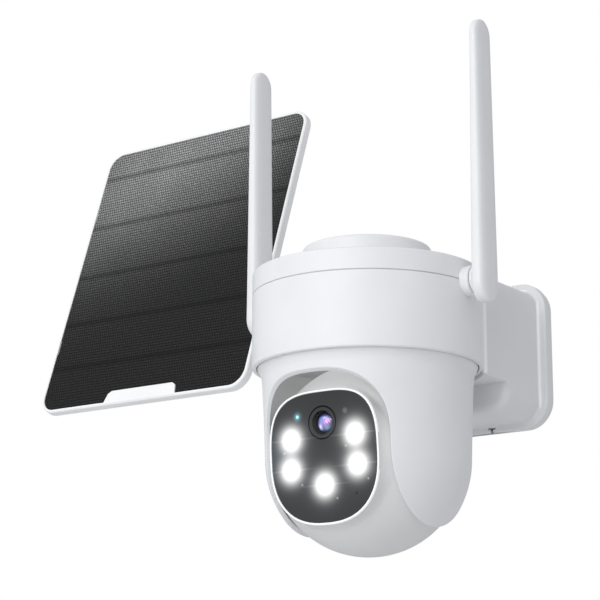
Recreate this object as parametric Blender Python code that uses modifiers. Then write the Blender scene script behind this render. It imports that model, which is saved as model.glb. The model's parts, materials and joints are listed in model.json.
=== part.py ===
"""Solar-powered pan and tilt security camera, wall mounted, with its solar panel.

Metres, +Z up, front of the camera towards -Y. The origin is the centre of the
camera bracket's wall face; the wall is the plane y = 0.
"""

import math

import bmesh
import bpy
import numpy as np
from mathutils import Matrix, Vector

GAP = 0.0003  # between pieces that touch

# Fixed drum that carries everything
DRUM_Y = -0.0955  # drum axis, from the wall
SEAM_Z = 0.0185  # joint between drum shell and cover
DRUM_RADIUS = 0.056
DRUM_WALL = 0.0021
DRUM_DEPTH = 0.0364  # from the seam down to the lower lip
COVER_HEIGHT = 0.011
CAP_RADIUS = 0.0317
CAP_HEIGHT = 0.0125
FLOOR_Z = SEAM_Z - 0.0270  # underside of the drum's floor
FLOOR_THICKNESS = 0.0025

# Pan head: the yoke that hangs under the drum
HEAD_Z = SEAM_Z - 0.0800  # tilt axis
YOKE_RADIUS = 0.0495
YOKE_WALL = 0.0022
YOKE_TOP_Z = SEAM_Z - 0.0285
YOKE_TOP_RADIUS = 0.0524
FLARE_START = 0.0385  # over the tilt axis
FLARE_HEIGHT = 0.0051
FLARE_RADIUS = 0.0534
SLOT_HALF_WIDTH = 0.0341
SLOT_HEIGHT = 0.0344
SLOT_POWER = 3.0
SLOT_BACK_Z = SEAM_Z - 0.1050
HUB_RADIUS = 0.0100

# Ball with the lens and the lights
BALL_RADIUS = 0.0465
BALL_WALL = 0.0020
BALL_REST_TILT = math.radians(4.4)
FACE_Y = -0.0380
FACE_HALF_WIDTH = 0.0305
FACE_HALF_HEIGHT = 0.0314
FACE_CENTRE_Z = -0.0007
FACE_TOP_POWER = 3.15
FACE_BOTTOM_POWER = 2.45
RIM = 0.0009
WINDOW_THICKNESS = 0.0018
BLEND_ANGLE = math.radians(50)
SPLIT_Y = 0.0125
LENS_Z = 0.0153
LENS_HOLE_RADIUS = 0.0072
LED_PLACES = (
    (-0.0179, 0.0086),
    (0.0179, 0.0086),
    (-0.0186, -0.0056),
    (0.0186, -0.0056),
    (0.0, -0.0137),
)
LED_HOLE_RADIUS = 0.0036
LED_BOARD_Y = -0.0328
LENS_SEAT_Y = -0.0310
BARREL_LENGTH = 0.0180
AXLE_RADIUS = 0.0040
AXLE_HOLE_RADIUS = 0.0044

# Gears
GEAR_MODULE = 0.0012
PAN_TEETH = 40
TILT_TEETH = 24
PINION_TEETH = 10
GEAR_THICKNESS = 0.0040
TILT_GEAR_X = 0.0330  # outer face of the tilt gears

# Antennas
ANTENNA_X = 0.0656
ANTENNA_Z = SEAM_Z
ANTENNA_Y = DRUM_Y + 0.0010
ANTENNA_BELOW = 0.0116
ANTENNA_ABOVE = 0.1296
BLADE_POWER = 3.0
BOSS_RADIUS = 0.0073
PIN_RADIUS = 0.0030
LEAD_HOLE_RADIUS = 0.0024
LEAD_HOLE_Z = SEAM_Z - 0.0042

# Wall bracket
ARM_HALF_WIDTH = 0.0460
ARM_TOP_Z = 0.0335
ARM_UNDERSIDE_Z = SEAM_Z - 0.0380
BLOCK_BOTTOM_Z = -0.0339
BLOCK_FRONT_Y = -0.0405
ARM_WALL = 0.0026
ARM_ROUNDING = 0.0100
BLOCK_ROUNDING = 0.0040
PLATE_HALF_WIDTH = 0.0505
PLATE_HALF_HEIGHT = 0.0378
PLATE_CORNER = 0.0145
FLANGE_THICKNESS = 0.0045
WALL_PLATE_THICKNESS = 0.0030
BRACKET_BACK_Y = -WALL_PLATE_THICKNESS - GAP

# Battery cells inside the block
CELL_Y = -0.0250
CELL_HEIGHTS = (-0.0110, 0.0090)

# Charging socket and plug on the arm's left side
SOCKET_COLLAR = 0.0016
PLUG_OUT = SOCKET_COLLAR + GAP
PLUG_GRIP = 0.0180
CABLE_RADIUS = 0.0020

# Service recess in the underside of the block
SERVICE_X = -0.0180
SERVICE_WIDTH = 0.0320
SERVICE_DEPTH = 0.0150
SERVICE_Y = -0.0250
BUTTON_RADIUS = 0.0025
BUTTON_OFFSET = 0.0070
LOCK_SCREW_X = 0.0180
LOCK_SCREW_Y = -0.0056
NOTCH_DEPTH = 0.0026

# Solar panel
PANEL_CENTRE = Vector((-0.1537, -0.0555, 0.0678))
PANEL_ROLL = math.radians(1.05)
PANEL_YAW = math.radians(-4.13)
PANEL_LEAN = math.radians(-17.23)
PANEL_WIDTH = 0.1471
PANEL_HEIGHT = 0.1667
PANEL_CORNER = 0.0090
FRAME_BORDER = 0.0016
FRAME_DEPTH = 0.0049
FRAME_LIP = 0.0004  # how far the frame stands in front of the laminate
LAMINATE_THICKNESS = 0.0022
BACK_COVER_FRONT = 0.0033  # behind the panel's face
BACK_COVER_THICKNESS = 0.0020
PIVOT_BACK = 0.0200  # tilt axis behind the panel's face
YAW_Y = -0.0140  # yaw axis in front of the wall
EAR_RADIUS = 0.0058
EAR_OFFSET = 0.0067
EAR_THICKNESS = 0.0030
TONGUE_WIDTH = 0.0096
BOLT_RADIUS = 0.0018
PIN_HOLE_RADIUS = 0.0021

PARTS = "solar_security_camera"
CUTTERS = "cutters"


# ---------------------------------------------------------------- helpers


def clear_scene():
    for obj in list(bpy.data.objects):
        bpy.data.objects.remove(obj, do_unlink=True)


def collection(name):
    made = bpy.data.collections.new(name)
    bpy.context.scene.collection.children.link(made)
    return made


def material(name, color, roughness, metallic=0.0):
    made = bpy.data.materials.new(name)
    made.use_nodes = True
    shader = made.node_tree.nodes["Principled BSDF"]
    shader.inputs["Base Color"].default_value = (*color, 1.0)
    shader.inputs["Roughness"].default_value = roughness
    shader.inputs["Metallic"].default_value = metallic
    return made


def place(obj, at=(0, 0, 0), turn=(0, 0, 0), parent=None):
    obj.parent = parent
    obj.location = at
    obj.rotation_euler = turn
    return obj


def from_bmesh(name, shape, finish=None, into=PARTS):
    bmesh.ops.recalc_face_normals(shape, faces=shape.faces)
    mesh = bpy.data.meshes.new(name)
    shape.to_mesh(mesh)
    shape.free()
    obj = bpy.data.objects.new(name, mesh)
    bpy.data.collections[into].objects.link(obj)
    if finish:
        mesh.materials.append(finish)
        mesh.shade_smooth()
        mesh.set_sharp_from_angle(angle=math.radians(35))
    else:
        obj.hide_render = True
        obj.display_type = "WIRE"
    return obj


def pivot(name, at, turn=(0, 0, 0), parent=None):
    """An empty on a joint's axis, which the moving pieces are parented to."""
    obj = bpy.data.objects.new(name, None)
    bpy.data.collections[PARTS].objects.link(obj)
    return place(obj, at, turn, parent)


def bevel(obj, width, segments=2, angle=40):
    made = obj.modifiers.new("rounded_edges", "BEVEL")
    made.width = width
    made.segments = segments
    made.limit_method = "ANGLE"
    made.angle_limit = math.radians(angle)
    return obj


def box(name, size, finish=None, into=PARTS):
    shape = bmesh.new()
    bmesh.ops.create_cube(shape, size=1.0)
    bmesh.ops.scale(shape, vec=size, verts=shape.verts)
    return from_bmesh(name, shape, finish, into)


def cylinder(name, radius, length, finish=None, into=PARTS, sides=20, top_radius=None):
    """Along Z, centred on its origin."""
    shape = bmesh.new()
    far = radius if top_radius is None else top_radius
    bmesh.ops.create_cone(
        shape, cap_ends=True, segments=sides, radius1=radius, radius2=far, depth=length
    )
    return from_bmesh(name, shape, finish, into)


def turned(name, profile, finish=None, into=PARTS, steps=48, closed=True):
    """Solid of revolution about Z. The profile, (radius, z) points, runs down its outer side."""
    shape = bmesh.new()
    points = [shape.verts.new((radius, 0, z)) for radius, z in profile]
    for first, second in zip(points, points[1:]):
        shape.edges.new((first, second))
    if closed:
        shape.edges.new((points[-1], points[0]))
    mesh = bpy.data.meshes.new(name)
    shape.to_mesh(mesh)
    shape.free()
    obj = bpy.data.objects.new(name, mesh)
    bpy.data.collections[into].objects.link(obj)
    screw = obj.modifiers.new("turned", "SCREW")
    screw.angle = math.tau
    screw.steps = steps
    screw.render_steps = steps
    screw.use_merge_vertices = True
    screw.merge_threshold = 0.00001
    if finish:
        mesh.materials.append(finish)
    else:
        obj.hide_render = True
        obj.display_type = "WIRE"
    return obj


def outline_solid(name, outline, thickness, finish=None, into=PARTS):
    """A flat outline of (x, z) points, extruded along Y from 0 to the thickness."""
    shape = bmesh.new()
    rim = [shape.verts.new((x, 0, z)) for x, z in outline]
    face = shape.faces.new(rim)
    grown = bmesh.ops.extrude_face_region(shape, geom=[face])["geom"]
    moved = [item for item in grown if isinstance(item, bmesh.types.BMVert)]
    bmesh.ops.translate(shape, vec=(0, thickness, 0), verts=moved)
    return from_bmesh(name, shape, finish, into)


def boolean(obj, other, operation="DIFFERENCE"):
    made = obj.modifiers.new(operation.lower(), "BOOLEAN")
    made.operation = operation
    made.object = other
    return obj


def cut_round(obj, radius, length, at, turn=(0, 0, 0), parent=None, sides=20):
    cutter = cylinder(obj.name + "_hole", radius, length, into=CUTTERS, sides=sides)
    place(cutter, at, turn, parent)
    return boolean(obj, cutter)


def cut_box(obj, size, at, turn=(0, 0, 0), parent=None):
    cutter = box(obj.name + "_pocket", size, into=CUTTERS)
    place(cutter, at, turn, parent)
    return boolean(obj, cutter)


def arc(centre_x, centre_z, radius, start, end, count):
    """Points of a circular arc; start and end are in degrees."""
    angles = np.radians(np.linspace(start, end, count))
    return [(centre_x + radius * math.cos(a), centre_z + radius * math.sin(a)) for a in angles]


def rounded_rectangle(half_width, half_height, radius, count=5):
    x = half_width - radius
    z = half_height - radius
    points = []
    for turn, side_x, side_z in ((0, 1, 1), (90, -1, 1), (180, -1, -1), (270, 1, -1)):
        points += arc(side_x * x, side_z * z, radius, turn, turn + 90, count)
    return points


def superellipse(half_width, half_height, power, count):
    points = []
    for angle in np.linspace(0, math.tau, count, endpoint=False):
        c = math.cos(angle)
        s = math.sin(angle)
        x = half_width * math.copysign(abs(c) ** (2 / power), c)
        z = half_height * math.copysign(abs(s) ** (2 / power), s)
        points.append((x, z))
    return points


def gear_outline(teeth, module, phase=0.0):
    """Straight-sided teeth, thin enough to run with play."""
    pitch_radius = module * teeth / 2
    root = pitch_radius - 1.15 * module
    tip = pitch_radius + 0.75 * module
    step = math.tau / teeth
    points = []
    for tooth in range(teeth):
        middle = phase + tooth * step
        for radius, share in ((root, -0.30), (tip, -0.13), (tip, 0.13), (root, 0.30)):
            angle = middle + share * step
            points.append((radius * math.cos(angle), radius * math.sin(angle)))
    return points


def gear(name, teeth, bore, finish, phase=0.0):
    """Axis along Y, from y = 0 to the gear's thickness."""
    obj = outline_solid(name, gear_outline(teeth, GEAR_MODULE, phase), GEAR_THICKNESS, finish)
    cutter = cylinder(name + "_bore", bore, 4 * GEAR_THICKNESS, into=CUTTERS, sides=16)
    cutter.parent = obj
    cutter.rotation_euler = (math.pi / 2, 0, 0)
    return boolean(obj, cutter)


def screw_part(name, head_radius, shank_radius, length, finish):
    """Pan-head screw, head towards +Z, shank below the origin."""
    head = 0.0016
    profile = [
        (0, head),
        (head_radius * 0.7, head * 0.85),
        (head_radius, head * 0.25),
        (head_radius, 0),
        (shank_radius, 0),
        (shank_radius, -length),
        (0, -length),
    ]
    obj = turned(name, profile, finish, steps=12, closed=False)
    obj.data.shade_smooth()
    return obj


# ------------------------------------------------------------------ drum


def drum_shell(finish):
    """Open cup with a floor, and a lip that hangs below the floor."""
    inner = DRUM_RADIUS - DRUM_WALL
    floor_top = FLOOR_Z + FLOOR_THICKNESS
    bottom = SEAM_Z - DRUM_DEPTH
    fillet = 0.0012
    profile = [
        (DRUM_RADIUS, SEAM_Z),
        (DRUM_RADIUS, bottom + fillet),
        (DRUM_RADIUS - 0.3 * fillet, bottom + 0.3 * fillet),
        (DRUM_RADIUS - fillet, bottom),
        (inner, bottom),
        (inner, FLOOR_Z),
        (HUB_RADIUS + 0.0050, FLOOR_Z),
        (HUB_RADIUS + 0.0050, floor_top),
        (inner, floor_top),
        (inner, SEAM_Z),
    ]
    obj = place(turned("drum_shell", profile, finish, steps=56), (0, DRUM_Y, 0))
    for side in (-1, 1):
        lead_hole = (side * DRUM_RADIUS, ANTENNA_Y, LEAD_HOLE_Z)
        cut_round(obj, LEAD_HOLE_RADIUS, 0.02, lead_hole, (0, math.pi / 2, 0), sides=12)
    return obj


def drum_cover(finish):
    inner = DRUM_RADIUS - DRUM_WALL
    base = SEAM_Z + GAP
    top = SEAM_Z + COVER_HEIGHT
    fillet = 0.0011
    under = top - 0.0022
    hole = CAP_RADIUS - 0.0090
    profile = [
        (hole, top),
        (DRUM_RADIUS - fillet, top),
        (DRUM_RADIUS - 0.3 * fillet, top - 0.3 * fillet),
        (DRUM_RADIUS, top - fillet),
        (DRUM_RADIUS, base),
        (inner, base),
        (inner, under),
        (hole, under),
    ]
    return place(turned("drum_cover", profile, finish, steps=56), (0, DRUM_Y, 0))


def top_cap(finish):
    """Upturned cup that closes the hole in the cover."""
    base = SEAM_Z + COVER_HEIGHT + GAP
    top = base + CAP_HEIGHT
    fillet = 0.0015
    inner = CAP_RADIUS - 0.0020
    profile = [
        (0, top),
        (CAP_RADIUS - fillet, top),
        (CAP_RADIUS - 0.3 * fillet, top - 0.3 * fillet),
        (CAP_RADIUS, top - fillet),
        (CAP_RADIUS, base),
        (inner, base),
        (inner, top - 0.0020),
        (0, top - 0.0020),
    ]
    return place(turned("top_cap", profile, finish, steps=40, closed=False), (0, DRUM_Y, 0))


def seal_ring(finish):
    """Rubber ring inside the joint between shell and cover."""
    outer = DRUM_RADIUS - DRUM_WALL - GAP
    inner = outer - 0.0016
    profile = [
        (outer, SEAM_Z + 0.0014),
        (outer, SEAM_Z - 0.0014),
        (inner, SEAM_Z - 0.0014),
        (inner, SEAM_Z + 0.0014),
    ]
    return place(turned("cover_seal", profile, finish, steps=48), (0, DRUM_Y, 0))


def cover_screws(finish):
    """Two screws pull the cover down from its upper face, under the cap's rim."""
    ring = CAP_RADIUS - 0.0050
    for index in range(2):
        angle = math.radians(180 * index)
        screw = screw_part(f"cover_screw_{index + 1}", 0.0022, 0.0010, 0.0080, finish)
        x = ring * math.cos(angle)
        y = DRUM_Y + ring * math.sin(angle)
        place(screw, (x, y, SEAM_Z + COVER_HEIGHT + GAP))
        cut_round(bpy.data.objects["drum_cover"], 0.0014, 0.02, (x, y, SEAM_Z + COVER_HEIGHT), sides=10)


def main_board(finish):
    obj = cylinder("main_board", 0.0500, 0.0016, finish, sides=40)
    place(obj, (0, DRUM_Y, SEAM_Z - 0.0030))
    return cut_box(obj, (0.0300, 0.0200, 0.01), (0, DRUM_Y + 0.0500, SEAM_Z - 0.0030))


def speaker(finish):
    radius = 0.0120
    profile = [
        (0, 0.0050),
        (radius * 0.5, 0.0050),
        (radius * 0.6, 0.0025),
        (radius, 0.0015),
        (radius, 0),
        (0, 0),
    ]
    obj = turned("speaker", profile, finish, steps=24, closed=False)
    return place(obj, (-0.0385, DRUM_Y - 0.0050, FLOOR_Z + FLOOR_THICKNESS + GAP))


def pan_motor(finish):
    """Geared stepper on the drum's floor, its shaft pointing down the pinion's axis."""
    x, y = pan_pinion_place()
    base = FLOOR_Z + FLOOR_THICKNESS + 2 * GAP + GEAR_THICKNESS + 0.0006
    obj = cylinder("pan_motor", 0.0100, 0.0110, finish, sides=24)
    place(obj, (x, y, base + 0.0055))
    ear = box("pan_motor_ears", (0.0300, 0.0070, 0.0016), into=CUTTERS)
    place(ear, (x, y, base + 0.0008))
    boolean(obj, ear, "UNION")
    shaft = cylinder("pan_motor_shaft", 0.0012, 0.0050, into=CUTTERS, sides=12)
    place(shaft, (x, y, base - 0.0022))
    return boolean(obj, shaft, "UNION")


def pan_bearing(finish):
    """Plain bearing ring in the floor's hole, around the hub."""
    inner = HUB_RADIUS + 0.0002
    outer = HUB_RADIUS + 0.0050 - GAP
    profile = [
        (outer, FLOOR_Z + FLOOR_THICKNESS),
        (outer, FLOOR_Z),
        (inner, FLOOR_Z),
        (inner, FLOOR_Z + FLOOR_THICKNESS),
    ]
    return place(turned("pan_bearing", profile, finish, steps=32), (0, DRUM_Y, 0))


# -------------------------------------------------------------- antennas


def antenna_boss(side, finish):
    """Round boss on the drum's side, with the hinge pin of its antenna."""
    name = "antenna_boss_right" if side > 0 else "antenna_boss_left"
    face = ANTENNA_X - 0.0053
    root = DRUM_RADIUS - 0.0010
    profile = [
        (0, face + 0.0053),
        (PIN_RADIUS, face + 0.0053),
        (PIN_RADIUS, face),
        (BOSS_RADIUS - 0.0006, face),
        (BOSS_RADIUS, face - 0.0006),
        (BOSS_RADIUS, root),
        (0, root),
    ]
    obj = turned(name, profile, finish, steps=24, closed=False)
    place(obj, (0, ANTENNA_Y, ANTENNA_Z), (0, side * math.pi / 2, 0))
    drum = cylinder(name + "_saddle", DRUM_RADIUS + GAP, 0.05, into=CUTTERS, sides=64)
    place(drum, (0, DRUM_Y, ANTENNA_Z))
    return boolean(obj, drum)


def antenna_section(height):
    """Half depth along Y and half width along X of the blade at this height over the hinge."""
    share = (height + ANTENNA_BELOW) / (ANTENNA_ABOVE + ANTENNA_BELOW)
    return 0.0086 - 0.0011 * share, 0.0041 - 0.0015 * share


def antenna(side, finish):
    """Flat tapered blade with round ends, lofted from rounded sections."""
    name = "antenna_right" if side > 0 else "antenna_left"
    count = 14
    shape = bmesh.new()
    rings = []
    low_cap = 0.0086
    high_cap = 0.0075
    levels = []
    for angle in np.radians(np.linspace(-78, 0, 5)):
        levels.append((-ANTENNA_BELOW + low_cap * (1 + math.sin(angle)), math.cos(angle)))
    levels.append((ANTENNA_ABOVE * 0.5, 1.0))
    for angle in np.radians(np.linspace(0, 78, 5)):
        levels.append((ANTENNA_ABOVE - high_cap * (1 - math.sin(angle)), math.cos(angle)))
    for height, share in levels:
        half_y, half_x = antenna_section(height)
        half_y *= share
        half_x *= 0.55 + 0.45 * share
        ring = []
        for x, y in superellipse(half_x, half_y, BLADE_POWER, count):
            ring.append(shape.verts.new((x, y, height)))
        rings.append(ring)
    for lower, upper in zip(rings, rings[1:]):
        for index in range(count):
            after = (index + 1) % count
            shape.faces.new((lower[index], lower[after], upper[after], upper[index]))
    shape.faces.new(rings[0][::-1])
    shape.faces.new(rings[-1])
    joint = pivot(name + "_hinge", (side * ANTENNA_X, ANTENNA_Y, ANTENNA_Z))
    obj = place(from_bmesh(name, shape, finish), parent=joint)
    bore = cylinder(name + "_bore", PIN_RADIUS + GAP, 0.0060, into=CUTTERS, sides=24)
    place(bore, (-side * 0.0024, 0, 0), (0, math.pi / 2, 0), joint)
    return boolean(obj, bore)


# --------------------------------------------------------------- bracket


def round_edges(obj, chosen, radius, segments):
    """Rounds the edges whose two ends satisfy chosen(first, second)."""
    shape = bmesh.new()
    shape.from_mesh(obj.data)
    edges = [edge for edge in shape.edges if chosen(*(vert.co for vert in edge.verts))]
    bmesh.ops.bevel(
        shape, geom=edges, offset=radius, segments=segments, profile=0.5, affect="EDGES", clamp_overlap=True
    )
    shape.to_mesh(obj.data)
    shape.free()
    return obj


def bracket_body(finish):
    """Side outline of arm and block, extruded from one side face to the other."""
    back = -BRACKET_BACK_Y + FLANGE_THICKNESS * 0.5
    front = -DRUM_Y - 0.0300
    step = -BLOCK_FRONT_Y
    outline = [
        (back, ARM_TOP_Z),
        (front, ARM_TOP_Z),
        (front, ARM_UNDERSIDE_Z),
        (step, ARM_UNDERSIDE_Z),
        (step, BLOCK_BOTTOM_Z),
        (back, BLOCK_BOTTOM_Z),
    ]
    body = outline_solid("bracket_arm", outline, 2 * ARM_HALF_WIDTH, finish)

    def side_edge(first, second):
        return abs(first.y - second.y) < GAP

    def long_edge(first, second):
        level = first.z == second.z
        outer = abs(first.z - ARM_TOP_Z) < GAP or abs(first.z - BLOCK_BOTTOM_Z) < GAP
        return side_edge(first, second) and level and outer

    def short_edge(first, second):
        inside = max(first.x, second.x) < front - GAP and min(first.x, second.x) > back + GAP
        low = max(first.z, second.z) < ARM_UNDERSIDE_Z + GAP
        concave = abs(first.z - ARM_UNDERSIDE_Z) < GAP and abs(second.z - ARM_UNDERSIDE_Z) < GAP
        return inside and low and not (concave and first.x == second.x)

    round_edges(body, long_edge, ARM_ROUNDING, 4)
    round_edges(body, short_edge, BLOCK_ROUNDING, 3)
    return place(body, (-ARM_HALF_WIDTH, 0, 0), (0, 0, -math.pi / 2))


def bracket_arm(finish):
    """Hollow arm and block between the drum and the wall, with a flange round its back."""
    arm = bracket_body(finish)
    outline = rounded_rectangle(PLATE_HALF_WIDTH, PLATE_HALF_HEIGHT, PLATE_CORNER)
    flange = outline_solid("bracket_flange", outline, FLANGE_THICKNESS, into=CUTTERS)
    place(flange, (0, BRACKET_BACK_Y - FLANGE_THICKNESS, 0))
    bevel(flange, 0.0008, 2)
    boolean(arm, flange, "UNION")

    drum = cylinder("bracket_saddle", DRUM_RADIUS + GAP, 0.12, into=CUTTERS, sides=64)
    place(drum, (0, DRUM_Y, 0))
    boolean(arm, drum)

    inside_depth = BRACKET_BACK_Y - BLOCK_FRONT_Y - ARM_WALL
    inside_top = ARM_TOP_Z - ARM_WALL - 0.0030
    inside_bottom = BLOCK_BOTTOM_Z + ARM_WALL
    cut_box(
        arm,
        (2 * (ARM_HALF_WIDTH - ARM_WALL - 0.0030), inside_depth + 0.01, inside_top - inside_bottom),
        (0, BLOCK_FRONT_Y + ARM_WALL + inside_depth / 2 + 0.005, (inside_top + inside_bottom) / 2),
    )
    return arm


def open_service_recess(arm):
    """Recess for the flap in the block's underside, with a hole for each button."""
    cut_box(
        arm,
        (SERVICE_WIDTH + 2 * GAP, SERVICE_DEPTH + 2 * GAP, 0.0040),
        (SERVICE_X, SERVICE_Y, BLOCK_BOTTOM_Z),
    )
    for side in (-1, 1):
        cut_round(
            arm, BUTTON_RADIUS + GAP, 0.04, (SERVICE_X + side * BUTTON_OFFSET, SERVICE_Y, BLOCK_BOTTOM_Z)
        )
    return arm


def cut_lock_notch(arm):
    """Notch in the flange's lower edge, under the lock screw."""
    at = (LOCK_SCREW_X, -0.0075, -PLATE_HALF_HEIGHT + NOTCH_DEPTH / 2)
    return cut_box(arm, (0.0044, 0.0100, NOTCH_DEPTH), at)


def wall_plate(finish):
    outline = rounded_rectangle(PLATE_HALF_WIDTH - 0.0005, PLATE_HALF_HEIGHT - 0.0005, PLATE_CORNER)
    obj = outline_solid("wall_plate", outline, WALL_PLATE_THICKNESS, finish)
    place(obj, (0, -WALL_PLATE_THICKNESS, 0))
    for x, z in wall_screw_places():
        cut_round(obj, 0.0023, 0.02, (x, 0, z), (math.pi / 2, 0, 0))
    return obj


def wall_screw_places():
    return ((-0.0300, 0.0170), (0.0300, 0.0170))


def wall_screws(finish):
    """Heads inside the arm, shanks ending at the wall face."""
    for index, (x, z) in enumerate(wall_screw_places()):
        screw = screw_part(f"wall_screw_{index + 1}", 0.0042, 0.0020, WALL_PLATE_THICKNESS, finish)
        place(screw, (x, -WALL_PLATE_THICKNESS - GAP, z), (math.pi / 2, 0, 0))


def lock_screw(finish):
    """Set screw in the flange's lower edge, which holds the bracket on the wall plate."""
    length = 0.0050
    obj = cylinder("bracket_lock_screw", 0.0012, length, finish, sides=12)
    z = -PLATE_HALF_HEIGHT + NOTCH_DEPTH + 0.0005 + length / 2
    return place(obj, (LOCK_SCREW_X, LOCK_SCREW_Y, z))


def cut_lock_hole(arm):
    at = (LOCK_SCREW_X, LOCK_SCREW_Y, -PLATE_HALF_HEIGHT + 0.0060)
    return cut_round(arm, 0.0015, 0.0080, at, sides=12)


def battery_cell(name, z, finish):
    """Round cell, 18.4 mm across and 65 mm long, lying across the block."""
    half = 0.0325
    radius = 0.0092
    profile = [
        (0, half + 0.0010),
        (0.0030, half + 0.0010),
        (0.0030, half),
        (radius, half),
        (radius, -half),
        (0, -half),
    ]
    obj = turned(name, profile, finish, steps=24, closed=False)
    return place(obj, (0, CELL_Y, z), (0, math.pi / 2, 0))


def battery_tray(finish):
    """Shallow open tray that the cells lie in."""
    obj = box("battery_tray", (0.0720, 0.0030, 0.0420), finish)
    place(obj, (0, -0.0132, -0.0010))
    for z in CELL_HEIGHTS:
        cut_round(obj, 0.0096, 0.0660, (0, CELL_Y, z), (0, math.pi / 2, 0), sides=32)
    return obj


def charge_socket(finish):
    """Round socket in the arm's left side."""
    profile = [
        (0.0030, SOCKET_COLLAR),
        (0.0052, SOCKET_COLLAR),
        (0.0052, 0),
        (0.0040, 0),
        (0.0040, -0.0060),
        (0.0030, -0.0060),
    ]
    obj = turned("charge_socket", profile, finish, steps=20)
    return place(obj, charge_place(GAP), (0, -math.pi / 2, 0))


def charge_place(out):
    return (-ARM_HALF_WIDTH - out, -0.0225, 0.0200)


def cut_socket_hole(arm):
    return cut_round(arm, 0.0043, 0.02, charge_place(0.0), (0, math.pi / 2, 0))


def charge_plug(finish):
    """Plug in the socket, and its grip outside."""
    profile = [
        (0, PLUG_GRIP),
        (0.0024, PLUG_GRIP),
        (0.0044, 0.0140),
        (0.0050, 0.0030),
        (0.0050, 0.0005),
        (0.0027, 0.0005),
        (0.0027, -0.0050),
        (0, -0.0050),
    ]
    obj = turned("charge_plug", profile, finish, steps=20, closed=False)
    return place(obj, charge_place(PLUG_OUT), (0, -math.pi / 2, 0))


def tube(name, points, radius, finish):
    """Cable along the points, as a poly curve with round section."""
    curve = bpy.data.curves.new(name, "CURVE")
    curve.dimensions = "3D"
    curve.bevel_depth = radius
    curve.bevel_resolution = 1
    curve.use_fill_caps = True
    spline = curve.splines.new("POLY")
    spline.points.add(len(points) - 1)
    for item, co in zip(spline.points, points):
        item.co = (*co, 1.0)
    curve.materials.append(finish)
    obj = bpy.data.objects.new(name, curve)
    bpy.data.collections[PARTS].objects.link(obj)
    return obj


def smooth_path(controls, count):
    """Points along a Catmull-Rom curve through the controls."""
    controls = [Vector(co) for co in controls]
    padded = [controls[0], *controls, controls[-1]]
    path = []
    for a, b, c, d in zip(padded, padded[1:], padded[2:], padded[3:]):
        for t in np.linspace(0, 1, count, endpoint=False):
            point = 2 * b + (c - a) * t
            point += (2 * a - 5 * b + 4 * c - d) * t**2
            point += (3 * b - a - 3 * c + d) * t**3
            path.append(point / 2)
    path.append(controls[-1])
    return path


def charge_cable(finish):
    """From the panel's wall base, along the wall, to the plug."""
    start = Vector(charge_place(PLUG_OUT + PLUG_GRIP + GAP))
    base = panel_base_centre()
    controls = [
        start,
        start + Vector((-0.0110, 0.0020, -0.0015)),
        start + Vector((-0.0300, 0.0120, -0.0040)),
        Vector((base.x + 0.0250, -0.0060, start.z - 0.0050)),
        Vector((base.x + 0.0040, -0.0060, start.z + 0.0060)),
        Vector((base.x, -0.0060, base.z - 0.0250)),
    ]
    return tube("charge_cable", smooth_path(controls, 5), CABLE_RADIUS, finish)


# ------------------------------------------------- buttons and service flap


def service_button(name, side, finish):
    """Short plunger through the block's floor; it travels upwards."""
    top = BLOCK_BOTTOM_Z + 0.0075
    bottom = BLOCK_BOTTOM_Z + 0.0022
    obj = cylinder(name, BUTTON_RADIUS, top - bottom, finish, sides=16)
    x = SERVICE_X + side * BUTTON_OFFSET
    return place(obj, (x, SERVICE_Y, (top + bottom) / 2))


def service_flap(finish):
    """Rubber flap over the buttons, hinged at its back edge."""
    thickness = 0.0014
    joint = pivot("service_flap_hinge", (SERVICE_X, SERVICE_Y + SERVICE_DEPTH / 2, BLOCK_BOTTOM_Z))
    obj = box("service_flap", (SERVICE_WIDTH, SERVICE_DEPTH - 0.0006, thickness), finish)
    place(obj, (0, -SERVICE_DEPTH / 2 - 0.0003, thickness / 2), parent=joint)
    return obj


# -------------------------------------------------------------- pan head


def yoke_radius(z):
    """Outer radius of the yoke at this height over the tilt axis."""
    if z <= 0:
        return math.sqrt(YOKE_RADIUS**2 - z**2)
    share = z / (YOKE_TOP_Z - HEAD_Z)
    wall = YOKE_RADIUS + (YOKE_TOP_RADIUS - YOKE_RADIUS) * (0.55 * share + 0.45 * share**3)
    flare = min(max((z - FLARE_START) / FLARE_HEIGHT, 0.0), 1.0)
    return wall + (FLARE_RADIUS - wall) * flare**2


def yoke_profile():
    inner_radius = YOKE_RADIUS - YOKE_WALL
    outside = []
    inside = []
    lip = FLARE_START + FLARE_HEIGHT
    middle = FLARE_START + 0.6 * FLARE_HEIGHT
    for z in (YOKE_TOP_Z - HEAD_Z, lip, middle, FLARE_START, 0.0260, 0.0130, 0):
        outside.append((yoke_radius(z), HEAD_Z + z))
        inside.append((yoke_radius(z) - YOKE_WALL, HEAD_Z + z))
    for angle in np.radians(np.linspace(9, 47, 5)):
        outside.append((YOKE_RADIUS * math.cos(angle), HEAD_Z - YOKE_RADIUS * math.sin(angle)))
        inside.append((inner_radius * math.cos(angle), HEAD_Z - inner_radius * math.sin(angle)))
    return outside + inside[::-1]


def slot_outline():
    """Arch over straight sides; the ball looks out through it."""
    arch = superellipse(SLOT_HALF_WIDTH, SLOT_HEIGHT, SLOT_POWER, 40)[:21]
    return [(SLOT_HALF_WIDTH, -0.0700), *arch, (-SLOT_HALF_WIDTH, -0.0700)]


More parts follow.
